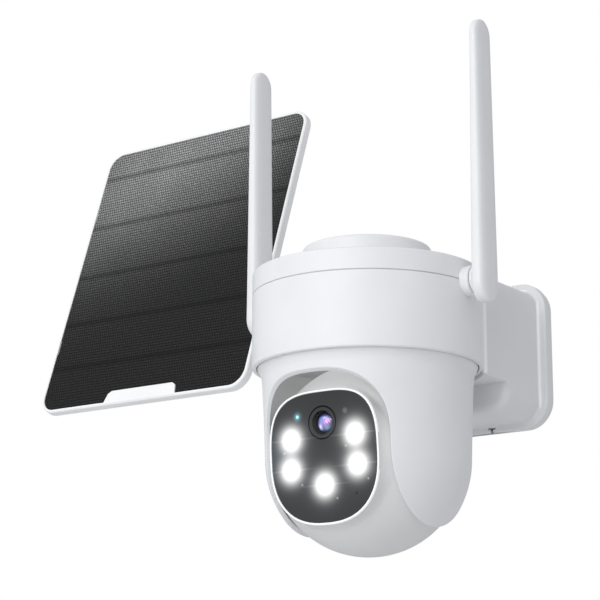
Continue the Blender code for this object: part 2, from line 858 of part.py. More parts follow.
def yoke_shell(finish, head):
    obj = place(turned("yoke_shell", yoke_profile(), finish, steps=48), (0, 0, -HEAD_Z), parent=head)
    front = outline_solid("yoke_slot", slot_outline(), 0.0700, into=CUTTERS)
    place(front, (0, -0.0700, 0), parent=head)
    boolean(obj, front)
    below = SLOT_BACK_Z - HEAD_Z
    cut_box(obj, (2 * SLOT_HALF_WIDTH, 0.14, 0.06), (0, 0, below - 0.03), parent=head)
    for side in (-1, 1):
        cut_round(
            obj,
            AXLE_RADIUS + GAP,
            0.02,
            (side * YOKE_RADIUS, 0, 0),
            (0, math.pi / 2, 0),
            head,
        )
    return obj


def turntable(finish, head):
    """Disc that closes the yoke's top, with the hollow hub that goes up through the drum's floor."""
    under = YOKE_TOP_Z - HEAD_Z - 0.0030
    top = YOKE_TOP_Z - HEAD_Z - 0.0002
    hub_top = FLOOR_Z + FLOOR_THICKNESS - HEAD_Z + 0.0100
    rim = yoke_radius(under) - YOKE_WALL - 0.0006
    profile = [
        (HUB_RADIUS, hub_top),
        (HUB_RADIUS, top),
        (rim, top),
        (rim, under),
        (HUB_RADIUS - 0.0025, under),
        (HUB_RADIUS - 0.0025, hub_top),
    ]
    return place(turned("turntable", profile, finish, steps=40), parent=head)


def pan_gear(finish, head):
    obj = gear("pan_gear", PAN_TEETH, HUB_RADIUS + GAP, finish)
    z = FLOOR_Z + FLOOR_THICKNESS + 2 * GAP + GEAR_THICKNESS - HEAD_Z
    return place(obj, (0, 0, z), (-math.pi / 2, 0, 0), head)


def tilt_axle(side, finish, head):
    """Pin through the yoke's cheek into the ball."""
    name = "tilt_axle_right" if side > 0 else "tilt_axle_left"
    inner = 0.0270 if side > 0 else 0.0390
    outer = YOKE_RADIUS - 0.0012
    obj = cylinder(name, AXLE_RADIUS, outer - inner, finish, sides=24)
    return place(obj, (side * (outer + inner) / 2, 0, 0), (0, math.pi / 2, 0), head)


def tilt_gear(finish, head):
    """Fixed gear on the right axle, inside the ball, with a tooth towards the pinion."""
    phase = tilt_pinion_direction() - BALL_REST_TILT
    obj = gear("tilt_gear", TILT_TEETH, AXLE_RADIUS + GAP, finish, phase)
    return place(obj, (TILT_GEAR_X - GEAR_THICKNESS, 0, 0), (0, 0, -math.pi / 2), head)


# ------------------------------------------------------------------ ball


def face_radius(direction):
    """Distance from the face's centre to its outline, in this direction."""
    c = abs(math.cos(direction)) / FACE_HALF_WIDTH
    s = abs(math.sin(direction)) / FACE_HALF_HEIGHT
    power = FACE_TOP_POWER if math.sin(direction) > 0 else FACE_BOTTOM_POWER
    return (c**power + s**power) ** (-1 / power)


def ball_point(direction, station, radius, inset):
    """A point of the ball's skin. Station 0 is the face's edge, 1 the start of the sphere."""
    c = math.cos(direction)
    s = math.sin(direction)
    if station >= 1:
        polar = BLEND_ANGLE + (station - 1) * (math.pi - BLEND_ANGLE)
        return Vector((radius * math.sin(polar) * c, -radius * math.cos(polar), radius * math.sin(polar) * s))
    edge_radius = face_radius(direction) - inset
    edge = Vector((edge_radius * c, FACE_Y, edge_radius * s + FACE_CENTRE_Z))
    polar = BLEND_ANGLE
    start = Vector((radius * math.sin(polar) * c, -radius * math.cos(polar), radius * math.sin(polar) * s))
    along = Vector((-math.cos(polar) * c, -math.sin(polar), -math.cos(polar) * s))
    forward = Vector((-0.22 * c, -1, -0.22 * s))
    reach = (edge - start).length
    t = 1 - station
    point = start * (2 * t**3 - 3 * t**2 + 1)
    point += along * reach * (t**3 - 2 * t**2 + t)
    point += edge * (3 * t**2 - 2 * t**3)
    point += forward * reach * (t**3 - t**2)
    return point


def ball_skin(stations, count, radius, inset):
    return [
        [ball_point(math.tau * index / count, station, radius, inset) for index in range(count)]
        for station in stations
    ]


def station_of_y(y, radius):
    """Station where the sphere of this radius reaches this depth."""
    polar = math.acos(-y / radius)
    return 1 + (polar - BLEND_ANGLE) / (math.pi - BLEND_ANGLE)


def loft(name, rings, finish):
    """Closed skin through a loop of rings; the last ring joins the first."""
    shape = bmesh.new()
    made = [[shape.verts.new(co) for co in ring] for ring in rings]
    count = len(rings[0])
    for first, second in zip(made, made[1:] + made[:1]):
        for index in range(count):
            after = (index + 1) % count
            shape.faces.new((first[index], first[after], second[after], second[index]))
    return from_bmesh(name, shape, finish)


def ball_front_shell(finish, ball):
    """From the window's rim back past the axles to the split, with a hole for each axle."""
    last = station_of_y(SPLIT_Y, BALL_RADIUS)
    last_inside = station_of_y(SPLIT_Y, BALL_RADIUS - BALL_WALL)
    outer_stations = [0, 0.5, 1, *np.linspace(1, last, 7)[1:]]
    inner_stations = [*np.linspace(1, last_inside, 7)[1:][::-1], 1, 0]
    outer = ball_skin(outer_stations, 40, BALL_RADIUS, 0.0)
    inner = ball_skin(inner_stations, 40, BALL_RADIUS - BALL_WALL, BALL_WALL)
    seat_edge = [co + Vector((0, WINDOW_THICKNESS + GAP, 0)) for co in inner[-1]]
    inner[-1] = seat_edge
    seat = ball_skin([0], 40, BALL_RADIUS, RIM)[0]
    low_seat = [co + Vector((0, WINDOW_THICKNESS + GAP, 0)) for co in seat]
    obj = loft("ball_front_shell", outer + inner + [low_seat, seat], finish)
    place(obj, parent=ball)
    for side in (-1, 1):
        cut_round(obj, AXLE_HOLE_RADIUS, 0.02, (side * BALL_RADIUS, 0, 0), (0, math.pi / 2, 0), ball)
    return obj


def bowl_side(radius, count):
    """Profile of the rear bowl's skin, from its pole to the split."""
    split = math.acos(-(SPLIT_Y + GAP) / radius)
    angles = np.linspace(math.pi, split, count)[1:]
    return [(0, radius)] + [(radius * math.sin(angle), -radius * math.cos(angle)) for angle in angles]


def ball_rear_shell(finish, ball):
    """Round bowl behind the split."""
    profile = bowl_side(BALL_RADIUS, 6) + bowl_side(BALL_RADIUS - BALL_WALL, 6)[::-1]
    obj = turned("ball_rear_shell", profile, finish, steps=40, closed=False)
    return place(obj, (0, 0, 0), (-math.pi / 2, 0, 0), ball)


def face_plate(name, inset, thickness, y, finish, ball, count=48):
    outline = []
    for direction in np.linspace(0, math.tau, count, endpoint=False):
        radius = face_radius(direction) - inset
        outline.append((radius * math.cos(direction), FACE_CENTRE_Z + radius * math.sin(direction)))
    obj = outline_solid(name, outline, thickness, finish)
    return place(obj, (0, y, 0), parent=ball)


def window_glass(finish, ball):
    return face_plate("window_glass", RIM + GAP, WINDOW_THICKNESS, FACE_Y, finish, ball)


def light_mask(finish, ball):
    """Dark sheet behind the window, open at the lens and at each LED."""
    y = FACE_Y + WINDOW_THICKNESS + 2 * GAP
    obj = face_plate("light_mask", 0.0046, 0.0010, y, finish, ball, count=32)
    turn = (math.pi / 2, 0, 0)
    cut_round(obj, LENS_HOLE_RADIUS + GAP, 0.006, (0, y, LENS_Z), turn, ball, 24)
    for x, z in LED_PLACES:
        cut_round(obj, LED_HOLE_RADIUS, 0.006, (x, y, z), turn, ball, 14)
    return obj


def led_board(finish, ball):
    obj = face_plate("led_board", 0.0066, 0.0012, LED_BOARD_Y, finish, ball, count=28)
    at = (0, LED_BOARD_Y, LENS_Z)
    return cut_round(obj, LENS_HOLE_RADIUS + GAP, 0.006, at, (math.pi / 2, 0, 0), ball, 24)


def flood_leds(finish, ball):
    for index, (x, z) in enumerate(LED_PLACES):
        height = 0.0014
        obj = cylinder(f"flood_led_{index + 1}", 0.0024, height, finish, sides=12, top_radius=0.0018)
        place(obj, (x, LED_BOARD_Y - GAP - height / 2, z), (math.pi / 2, 0, 0), ball)


def lens_barrel(finish, ball):
    """Turned barrel, open in front of the lens glass."""
    outer = LENS_HOLE_RADIUS
    profile = [
        (0, 0),
        (0.0048, 0),
        (0.0056, 0.0040),
        (outer, 0.0040),
        (outer, -BARREL_LENGTH),
        (0, -BARREL_LENGTH),
    ]
    obj = turned("lens_barrel", profile, finish, steps=28, closed=False)
    return place(obj, (0, LENS_SEAT_Y, LENS_Z), (math.pi / 2, 0, 0), ball)


def lens_glass(finish, ball):
    radius = 0.0044
    profile = [(0, 0.0019)]
    for angle in np.radians((62, 34, 0)):
        profile.append((radius * math.cos(angle), 0.0007 + 0.0012 * math.sin(angle)))
    profile += [(radius, 0), (0, 0)]
    obj = turned("lens_glass", profile, finish, steps=24, closed=False)
    return place(obj, (0, LENS_SEAT_Y - GAP, LENS_Z), (math.pi / 2, 0, 0), ball)


def sensor_board(finish, ball):
    """Square board behind the barrel."""
    thickness = 0.0014
    obj = box("sensor_board", (0.0280, thickness, 0.0240), finish)
    y = LENS_SEAT_Y + BARREL_LENGTH + GAP + thickness / 2
    return place(obj, (0, y, LENS_Z - 0.0040), parent=ball)


def tilt_pinion_place():
    """Centre distance of the tilt gears, below and behind the tilt axis, in (y, z)."""
    reach = GEAR_MODULE * (TILT_TEETH + PINION_TEETH) / 2
    return 0.6 * reach, -0.8 * reach


def tilt_pinion_direction():
    """Angle from the front, upwards, at which the pinion lies round the tilt axis."""
    y, z = tilt_pinion_place()
    return math.atan2(z, -y)


def pan_pinion_place():
    """Centre of the pan pinion, to the right of the hub."""
    reach = GEAR_MODULE * (PAN_TEETH + PINION_TEETH) / 2
    return reach, DRUM_Y


def tilt_motor(finish, ball):
    """Geared stepper in the ball, its shaft along the tilt axis' direction."""
    y, z = tilt_pinion_place()
    obj = cylinder("tilt_motor", 0.0090, 0.0150, finish, sides=24)
    place(obj, (0.0200, y, z), (0, math.pi / 2, 0), ball)
    shaft = cylinder("tilt_motor_shaft", 0.0012, 0.0090, into=CUTTERS, sides=12)
    place(shaft, (0.0290, y, z), (0, math.pi / 2, 0), ball)
    return boolean(obj, shaft, "UNION")


# ---------------------------------------------------------------- pinions


def pan_pinion(finish):
    x, y = pan_pinion_place()
    obj = gear("pan_pinion", PINION_TEETH, 0.0015, finish, phase=math.pi / PINION_TEETH)
    z = FLOOR_Z + FLOOR_THICKNESS + 2 * GAP + GEAR_THICKNESS
    return place(obj, (x, y, z), (-math.pi / 2, 0, 0))


def tilt_pinion(finish, ball):
    """A gap between its teeth faces the tilt gear."""
    y, z = tilt_pinion_place()
    phase = tilt_pinion_direction() + math.pi + math.pi / PINION_TEETH
    obj = gear("tilt_pinion", PINION_TEETH, 0.0015, finish, phase)
    return place(obj, (TILT_GEAR_X - GEAR_THICKNESS, y, z), (0, 0, -math.pi / 2), ball)


# ----------------------------------------------------------- solar panel


def panel_axes():
    """Rotation of the panel at rest: its face looks along local -Y."""
    return base_axes() @ Matrix.Rotation(PANEL_YAW, 3, "Z") @ Matrix.Rotation(PANEL_LEAN, 3, "X")


def base_axes():
    """The wall base is fixed a little out of plumb."""
    return Matrix.Rotation(PANEL_ROLL, 3, "Y")


def panel_pivot_place():
    return PANEL_CENTRE + panel_axes() @ Vector((0, PIVOT_BACK, 0))


def panel_base_centre():
    """On the wall, straight behind the yaw axis."""
    return panel_yaw_place() + Vector((0, -YAW_Y, 0))


def panel_yaw_place():
    """On the yaw axis, level with the tilt axis."""
    at = panel_pivot_place()
    forward = base_axes() @ Matrix.Rotation(PANEL_YAW, 3, "Z") @ Vector((0, -1, 0))
    return at - forward * ((YAW_Y - at.y) / -forward.y)


def ear_outline(reach):
    """Round end about the origin, with straight sides up to the reach."""
    return [(-EAR_RADIUS, reach), *arc(0, 0, EAR_RADIUS, 180, 360, 13), (EAR_RADIUS, reach)]


def panel_wall_base(finish):
    """Round foot on the wall with two ears that hold the yaw pin."""
    profile = [
        (0, 0.0052),
        (0.0120, 0.0048),
        (0.0245, 0.0030),
        (0.0255, 0.0020),
        (0.0255, 0),
        (0, 0),
    ]
    obj = turned("panel_wall_base", profile, finish, steps=36, closed=False)
    at = panel_base_centre()
    place(obj, at, (math.pi / 2, 0, 0))
    turn = (0, PANEL_ROLL, 0)
    for side in (-1, 1):
        lift = base_axes() @ Vector((0, 0, side * EAR_OFFSET + EAR_THICKNESS / 2))
        ear = outline_solid(f"base_ear_{side + 1}", ear_outline(-YAW_Y - 0.0020), EAR_THICKNESS, into=CUTTERS)
        place(ear, panel_yaw_place() + lift, (-math.pi / 2, PANEL_ROLL, 0))
        boolean(obj, ear, "UNION")
    cut_round(obj, PIN_HOLE_RADIUS, 0.05, panel_yaw_place(), turn, sides=16)
    for x in panel_screw_offsets():
        cut_round(obj, 0.0021, 0.02, at + Vector((x, 0, 0)), (math.pi / 2, 0, 0), sides=12)
    return obj


def panel_screw_offsets():
    return (-0.0185, 0.0185)


def panel_base_screws(finish):
    for index, x in enumerate(panel_screw_offsets()):
        screw = screw_part(f"panel_base_screw_{index + 1}", 0.0036, 0.0018, 0.0042, finish)
        at = panel_base_centre() + Vector((x, -0.0045, 0))
        place(screw, at, (math.pi / 2, 0, 0))


def knuckle_bolt(name, finish):
    """Bolt across a knuckle, along Z."""
    tip = EAR_OFFSET + EAR_THICKNESS / 2 + 0.0010
    seat = EAR_OFFSET + EAR_THICKNESS / 2 + GAP
    profile = [
        (0, seat + 0.0028),
        (0.0034, seat + 0.0028),
        (0.0034, seat),
        (BOLT_RADIUS, seat),
        (BOLT_RADIUS, -tip),
        (0, -tip),
    ]
    return turned(name, profile, finish, steps=16, closed=False)


def panel_swivel_arm(finish):
    """Tongue on the yaw pin, and the fork for the panel's lug."""
    joint = pivot("panel_yaw", panel_yaw_place(), yaw_axes().to_euler())
    obj = cylinder("panel_swivel_arm", EAR_RADIUS, TONGUE_WIDTH, finish, sides=24)
    place(obj, parent=joint)
    reach = panel_arm_length()
    shoulder = reach - EAR_RADIUS - 0.0035
    stem = box("arm_stem", (0.0100, shoulder, TONGUE_WIDTH), into=CUTTERS)
    place(stem, (0, -shoulder / 2, 0), parent=joint)
    boolean(obj, stem, "UNION")
    width = 2 * EAR_OFFSET + EAR_THICKNESS
    bridge = box("arm_bridge", (width, 0.0030, 0.0110), into=CUTTERS)
    place(bridge, (0, -shoulder + 0.0005, 0), parent=joint)
    boolean(obj, bridge, "UNION")
    for side in (-1, 1):
        ear = cylinder(f"fork_ear_{side + 1}", EAR_RADIUS, EAR_THICKNESS, into=CUTTERS, sides=24)
        place(ear, (side * EAR_OFFSET, -reach, 0), (0, math.pi / 2, 0), joint)
        boolean(obj, ear, "UNION")
        neck = box(f"fork_neck_{side + 1}", (EAR_THICKNESS, EAR_RADIUS + 0.0045, 0.0110), into=CUTTERS)
        place(neck, (side * EAR_OFFSET, -reach + (EAR_RADIUS + 0.0045) / 2, 0), parent=joint)
        boolean(obj, neck, "UNION")
    cut_round(obj, PIN_HOLE_RADIUS, 0.05, (0, 0, 0), parent=joint, sides=16)
    cut_round(obj, PIN_HOLE_RADIUS, 0.05, (0, -reach, 0), (0, math.pi / 2, 0), joint, 16)
    return obj


def yaw_axes():
    return base_axes() @ Matrix.Rotation(PANEL_YAW, 3, "Z")


def panel_arm_length():
    return (panel_pivot_place() - panel_yaw_place()).length


def panel_frame(finish, panel):
    """White tray round the cells, with a tab on its lower edge."""
    outline = rounded_rectangle(
        PANEL_WIDTH / 2 + FRAME_BORDER, PANEL_HEIGHT / 2 + FRAME_BORDER, PANEL_CORNER + FRAME_BORDER
    )
    obj = outline_solid("panel_frame", outline, FRAME_DEPTH, finish)
    place(obj, (0, -PIVOT_BACK - FRAME_LIP, 0), parent=panel)
    bevel(obj, 0.0009, 2)
    pocket = outline_solid("panel_face_pocket", panel_outline(), 0.0020 + LAMINATE_THICKNESS, into=CUTTERS)
    place(pocket, (0, -PIVOT_BACK - 0.0020, 0), parent=panel)
    boolean(obj, pocket)
    back = rounded_rectangle(PANEL_WIDTH / 2 - 0.0020, PANEL_HEIGHT / 2 - 0.0020, PANEL_CORNER)
    rear = outline_solid("panel_rear_pocket", back, 0.0100, into=CUTTERS)
    place(rear, (0, -PIVOT_BACK + BACK_COVER_FRONT - GAP, 0), parent=panel)
    return boolean(obj, rear)


def panel_tab_outline(grow):
    """Trapezoid at the middle of the lower edge."""
    base = -PANEL_HEIGHT / 2 - 0.0010
    top = -PANEL_HEIGHT / 2 + 0.0066 + grow
    return [
        (0.0273 + grow, base),
        (0.0262 + grow, top - 0.0016),
        (0.0236 + grow, top),
        (-0.0206 - grow, top),
        (-0.0232 - grow, top - 0.0016),
        (-0.0250 - grow, base),
    ]


def panel_outline():
    return rounded_rectangle(PANEL_WIDTH / 2, PANEL_HEIGHT / 2, PANEL_CORNER)


def panel_laminate(finish, panel):
    """Glass and cells in one sheet, set into the frame and notched round the tab."""
    inset = rounded_rectangle(PANEL_WIDTH / 2 - GAP, PANEL_HEIGHT / 2 - GAP, PANEL_CORNER)
    obj = outline_solid("panel_laminate", inset, LAMINATE_THICKNESS - GAP, finish)
    place(obj, (0, -PIVOT_BACK, 0), parent=panel)
    notch = outline_solid("panel_tab_notch", panel_tab_outline(GAP), 0.02, into=CUTTERS)
    place(notch, (0, -PIVOT_BACK - 0.01, 0), parent=panel)
    return boolean(obj, notch)


def add_tab(frame, panel):
    tab = outline_solid("panel_tab", panel_tab_outline(0.0), LAMINATE_THICKNESS + 0.0010, into=CUTTERS)
    place(tab, (0, -PIVOT_BACK - FRAME_LIP, 0), parent=panel)
    return boolean(frame, tab, "UNION")


def panel_back_cover(finish, panel):
    """Plate in the frame's rear pocket, with the lug that the swivel arm's fork holds."""
    outline = rounded_rectangle(PANEL_WIDTH / 2 - 0.0023, PANEL_HEIGHT / 2 - 0.0023, PANEL_CORNER)
    obj = outline_solid("panel_back_cover", outline, BACK_COVER_THICKNESS, finish)
    place(obj, (0, -PIVOT_BACK + BACK_COVER_FRONT, 0), parent=panel)
    lug = cylinder("panel_lug", EAR_RADIUS, TONGUE_WIDTH, into=CUTTERS, sides=24)
    place(lug, (0, 0, 0), (0, math.pi / 2, 0), panel)
    boolean(obj, lug, "UNION")
    reach = PIVOT_BACK - BACK_COVER_FRONT - BACK_COVER_THICKNESS / 2
    neck = box("panel_lug_neck", (TONGUE_WIDTH, reach, 0.0100), into=CUTTERS)
    place(neck, (0, -reach / 2, 0), parent=panel)
    boolean(obj, neck, "UNION")
    pad = box("panel_lug_pad", (0.0300, 0.0030, 0.0300), into=CUTTERS)
    place(pad, (0, -PIVOT_BACK + BACK_COVER_FRONT + BACK_COVER_THICKNESS + 0.0010, 0), parent=panel)
    boolean(obj, pad, "UNION")
    return cut_round(obj, PIN_HOLE_RADIUS, 0.05, (0, 0, 0), (0, math.pi / 2, 0), panel, 16)


def panel_bolts(finish):
    """The yaw bolt stays in the wall base, the tilt bolt in the swivel arm."""
    yaw_bolt = knuckle_bolt("panel_yaw_bolt", finish)
    place(yaw_bolt, panel_yaw_place(), (0, PANEL_ROLL, 0))
    tilt_bolt = knuckle_bolt("panel_tilt_bolt", finish)
    joint = bpy.data.objects["panel_yaw"]
    place(tilt_bolt, (0, -panel_arm_length(), 0), (0, math.pi / 2, 0), joint)


def junction_box(finish, panel):
    depth = 0.0060
    obj = box("panel_junction_box", (0.0340, depth, 0.0240), finish)
    bevel(obj, 0.0015, 2)
    y = -PIVOT_BACK + BACK_COVER_FRONT + BACK_COVER_THICKNESS + GAP + depth / 2
    return place(obj, (0, y, -0.0400), parent=panel)


# ---------------------------------------------------------------- assembly


def build_fixed(white, dark, board, steel, motor, cell, black):
    drum_shell(white)
    drum_cover(white)
    top_cap(white)
    seal_ring(black)
    cover_screws(steel)
    main_board(board)
    speaker(dark)
    pan_motor(motor)
    pan_bearing(dark)
    arm = bracket_arm(white)
    open_service_recess(arm)
    cut_lock_notch(arm)
    cut_socket_hole(arm)
    cut_lock_hole(arm)
    wall_plate(white)
    wall_screws(steel)
    lock_screw(steel)
    battery_tray(dark)
    battery_cell("battery_cell_lower", CELL_HEIGHTS[0], cell)
    battery_cell("battery_cell_upper", CELL_HEIGHTS[1], cell)
    charge_socket(dark)
    charge_plug(black)
    charge_cable(black)
    for side in (-1, 1):
        antenna_boss(side, white)
    panel_wall_base(white)
    panel_base_screws(steel)


def build_head(white, dark, steel):
    head = pivot("pan_axis", (0, DRUM_Y, HEAD_Z))
    yoke_shell(white, head)
    turntable(white, head)
    pan_gear(dark, head)
    for side in (-1, 1):
        tilt_axle(side, steel, head)
    tilt_gear(dark, head)
    return head


def build_ball(head, white, dark, board, glass, led, motor):
    ball = pivot("tilt_axis", (0, 0, 0), (BALL_REST_TILT, 0, 0), head)
    ball_front_shell(white, ball)
    ball_rear_shell(white, ball)
    window_glass(glass, ball)
    light_mask(dark, ball)
    led_board(board, ball)
    flood_leds(led, ball)
    lens_barrel(dark, ball)
    lens_glass(glass, ball)
    sensor_board(board, ball)
    tilt_motor(motor, ball)
    tilt_pinion(dark, ball)


def build_panel(white, cells, steel, dark):
    panel_swivel_arm(white)
    panel_bolts(steel)
    panel = pivot("panel_tilt", panel_pivot_place(), panel_axes().to_euler())
    frame = panel_frame(white, panel)
    add_tab(frame, panel)
    panel_laminate(cells, panel)
    panel_back_cover(white, panel)
    junction_box(dark, panel)


def main():
    clear_scene()
    collection(PARTS)
    collection(CUTTERS)
    white = material("white_plastic", (0.86, 0.86, 0.87), 0.42)
    dark = material("dark_plastic", (0.05, 0.05, 0.055), 0.5)
    black = material("black_rubber", (0.02, 0.02, 0.02), 0.7)
    glass = material("tinted_glass", (0.06, 0.065, 0.07), 0.08)
    board = material("circuit_board", (0.02, 0.16, 0.07), 0.5)
    steel = material("steel", (0.6, 0.6, 0.6), 0.3, 1.0)
    motor = material("motor_can", (0.7, 0.7, 0.7), 0.35, 1.0)
    cell = material("battery_wrap", (0.05, 0.2, 0.5), 0.4)
    led = material("led_phosphor", (1.0, 0.95, 0.75), 0.3)
    cells = material("solar_cells", (0.02, 0.022, 0.03), 0.25)

    build_fixed(white, dark, board, steel, motor, cell, black)
    head = build_head(white, dark, steel)
    build_ball(head, white, dark, board, glass, led, motor)
    pan_pinion(dark)
    for side in (-1, 1):
        antenna(side, white)
    service_button("power_button", -1, dark)
    service_button("reset_button", 1, dark)
    service_flap(black)
    build_panel(white, cells, steel, dark)


main()
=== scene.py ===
"""Finished look of the solar-powered pan and tilt security camera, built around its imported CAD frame.

Metres, +Z up, front of the camera towards -Y, the wall is the plane y = 0.
"""

import json
from math import acos, asin, atan2, copysign, cos, hypot, pi, radians, sin, sqrt, tan, tau

import bmesh
import bpy
import numpy as np
from mathutils import Matrix, Vector


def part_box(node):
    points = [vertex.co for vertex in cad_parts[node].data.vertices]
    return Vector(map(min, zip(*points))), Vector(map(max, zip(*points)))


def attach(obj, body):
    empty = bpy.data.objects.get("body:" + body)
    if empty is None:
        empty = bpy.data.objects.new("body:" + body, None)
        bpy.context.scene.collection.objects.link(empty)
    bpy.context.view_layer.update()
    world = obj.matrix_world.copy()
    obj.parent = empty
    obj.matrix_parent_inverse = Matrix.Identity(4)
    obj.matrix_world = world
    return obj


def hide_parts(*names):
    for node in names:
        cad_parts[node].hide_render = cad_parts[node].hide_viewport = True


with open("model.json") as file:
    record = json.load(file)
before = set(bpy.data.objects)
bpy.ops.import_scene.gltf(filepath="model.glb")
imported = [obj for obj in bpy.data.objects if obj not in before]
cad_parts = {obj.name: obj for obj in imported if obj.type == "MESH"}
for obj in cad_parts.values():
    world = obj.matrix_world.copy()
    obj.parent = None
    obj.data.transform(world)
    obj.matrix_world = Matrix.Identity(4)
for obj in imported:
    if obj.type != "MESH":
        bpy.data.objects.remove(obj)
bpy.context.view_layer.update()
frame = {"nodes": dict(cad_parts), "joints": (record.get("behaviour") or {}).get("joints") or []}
NODES = frame["nodes"]
JOINTS = {joint["name"]: joint for joint in frame["joints"]}
MM = 0.001
ALONG_X = Matrix.Rotation(pi / 2, 3, "Y")
ALONG_Y = Matrix.Rotation(pi / 2, 3, "X")

TILT_AT = Vector(JOINTS["tilt"]["pos_m"])
DRUM_Y = TILT_AT.y
BALL_REST_TILT = radians(4.4)
GAP = 0.3 * MM


# --- shapes


def mm(*values):
    """A tuple of lengths given in millimetres, or of tuples of them."""
    return tuple(mm(*value) if isinstance(value, tuple) else value * MM for value in values)


def middle_of(node):
    return [(low + high) / 2 for low, high in zip(*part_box(node))]


def size_of(node):
    return [high - low for low, high in zip(*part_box(node))]


def around(count):
    return np.linspace(0, tau, count, endpoint=False)


def link(obj):
    bpy.context.scene.collection.objects.link(obj)
    return obj


def from_bmesh(name, shape, finish=None):
    bmesh.ops.remove_doubles(shape, verts=shape.verts, dist=1e-7)
    bmesh.ops.recalc_face_normals(shape, faces=shape.faces)
    mesh = bpy.data.meshes.new(name)
    shape.to_mesh(mesh)
    shape.free()
    obj = link(bpy.data.objects.new(name, mesh))
    if finish:
        mesh.materials.append(finish)
    return obj


def sheet(name, rings, finish=None, closed=False, caps=False):
    """Skin through rings of equally many points. closed joins the last ring to the first."""
    rings = [np.asarray(ring, float) for ring in rings]
    rows, count = len(rings), len(rings[0])
    shape = bmesh.new()
    made = [[shape.verts.new(co) for co in ring] for ring in rings]
    for row in range(rows if closed else rows - 1):
        first, second = made[row], made[(row + 1) % rows]
        for index in range(count):
            after = (index + 1) % count
            shape.faces.new((first[index], first[after], second[after], second[index]))
    if caps:
        shape.faces.new(made[0])
        shape.faces.new(made[-1][::-1])
    return from_bmesh(name, shape, finish)


def fillet(points, radii, closed=True, count=6):
    """Rounds the corners of a 2-D polyline, each by its own radius."""
    points = [np.array(point, float) for point in points]
    if np.isscalar(radii):
        radii = [radii] * len(points)
    rounded = []
    for index, (point, radius) in enumerate(zip(points, radii)):
        end = not closed and index in (0, len(points) - 1)
        if radius <= 0 or end:
            rounded.append(point)
            continue
        before = points[index - 1] - point
        after = points[(index + 1) % len(points)] - point
        near, far = np.linalg.norm(before), np.linalg.norm(after)
        before, after = before / near, after / far
        half = acos(max(-1.0, min(1.0, before @ after))) / 2
        reach = min(radius / tan(half), 0.49 * near, 0.49 * far)
        inwards = before + after
        centre = point + inwards / np.linalg.norm(inwards) * reach / cos(half)
        first, last = point + before * reach - centre, point + after * reach - centre
        turn = pi - 2 * half
        for share in np.linspace(0, 1, count):
            weights = sin((1 - share) * turn), sin(share * turn)
            rounded.append(centre + (weights[0] * first + weights[1] * last) / sin(turn))
    return [tuple(point) for point in rounded]


def lathe(name, profile, finish, at=(0, 0, 0), turn=None, steps=128, closed=False):
    """A profile of (radius, z) points turned about Z."""
    angles = around(steps)
    ring = np.stack([np.cos(angles), np.sin(angles), np.zeros(steps)], axis=1)
    rings = [ring * max(radius, 0) + (0, 0, z) for radius, z in profile]
    obj = sheet(name, rings, finish, closed=closed)
    obj.matrix_world = Matrix.LocRotScale(Vector(at), turn, None)
    return obj


def rounded_rectangle(half_width, half_height, radius, count=10):
    points = []
    for quarter, (side_x, side_z) in enumerate(((1, 1), (-1, 1), (-1, -1), (1, -1))):
        for angle in np.linspace(quarter, quarter + 1, count) * pi / 2:
            x = side_x * (half_width - radius) + radius * cos(angle)
            z = side_z * (half_height - radius) + radius * sin(angle)
            points.append((x, z))
    return points


def inset(outline, distance):
    """The outline moved inwards by a distance, point for point."""
    points = np.array(outline, float)
    tangents = np.roll(points, -1, axis=0) - np.roll(points, 1, axis=0)
    tangents /= np.linalg.norm(tangents, axis=1)[:, None]
    area = np.sum(points[:, 0] * np.roll(points[:, 1], -1) - points[:, 1] * np.roll(points[:, 0], -1))
    inward = np.stack([-tangents[:, 1], tangents[:, 0]], axis=1) * copysign(1, area)
    return points + inward * distance


def slab(name, outline, front, back, finish, front_edge=0.0, back_edge=0.0, steps=5):
    """A flat (x, z) outline between two depths along Y, with rounded front and back edges."""
    rings = []

    def add(y, distance):
        rings.append([(x, y, z) for x, z in inset(outline, distance)])

    for angle in np.linspace(pi / 2, 0, steps) if front_edge else (0,):
        add(front + front_edge * (1 - sin(angle)), front_edge * (1 - cos(angle)))
    for angle in np.linspace(0, pi / 2, steps) if back_edge else (0,):
        add(back - back_edge * (1 - sin(angle)), back_edge * (1 - cos(angle)))
    return sheet(name, rings, finish, caps=True)


def combine(obj, other, operation="DIFFERENCE"):
    """Boolean with another object, which is used up."""
    made = obj.modifiers.new("cut", "BOOLEAN")
    made.operation = operation
    made.solver = "EXACT"
    made.object = other
    bpy.context.view_layer.update()
    graph = bpy.context.evaluated_depsgraph_get()
    mesh = bpy.data.meshes.new_from_object(obj.evaluated_get(graph))
    obj.modifiers.clear()
    obj.data = mesh
    bpy.data.objects.remove(other, do_unlink=True)
    return obj


def rod(name, radius, length, at, turn=None, steps=48, finish=None, edge=0.0):
    half = length / 2
    profile = [(0, half), (radius, half), (radius, -half), (0, -half)]
    if edge:
        profile = fillet(profile, edge, closed=False, count=5)
    return lathe(name, profile, finish, at, turn, steps)


def bake_place(obj):
    """Moves the object's place into its mesh, so that its own frame is the row frame."""
    bpy.context.view_layer.update()
    obj.data.transform(obj.matrix_world)
    obj.matrix_world = Matrix.Identity(4)
    return obj


def drill(obj, radius, length, at, turn=None, steps=48):
    combine(obj, bake_place(rod("cutter", radius, length, at, turn, steps)))


def cut_box(obj, size, at):
    shape = bmesh.new()
    bmesh.ops.create_cube(shape, size=1.0)
    bmesh.ops.scale(shape, vec=size, verts=shape.verts)
    cutter = from_bmesh("cutter", shape)
    cutter.matrix_world = Matrix.Translation(at)
    combine(obj, bake_place(cutter))


def wear(obj, *finishes):
    """Gives the object these finishes and no others."""
    obj.data.materials.clear()
    for finish in finishes:
        obj.data.materials.append(finish)


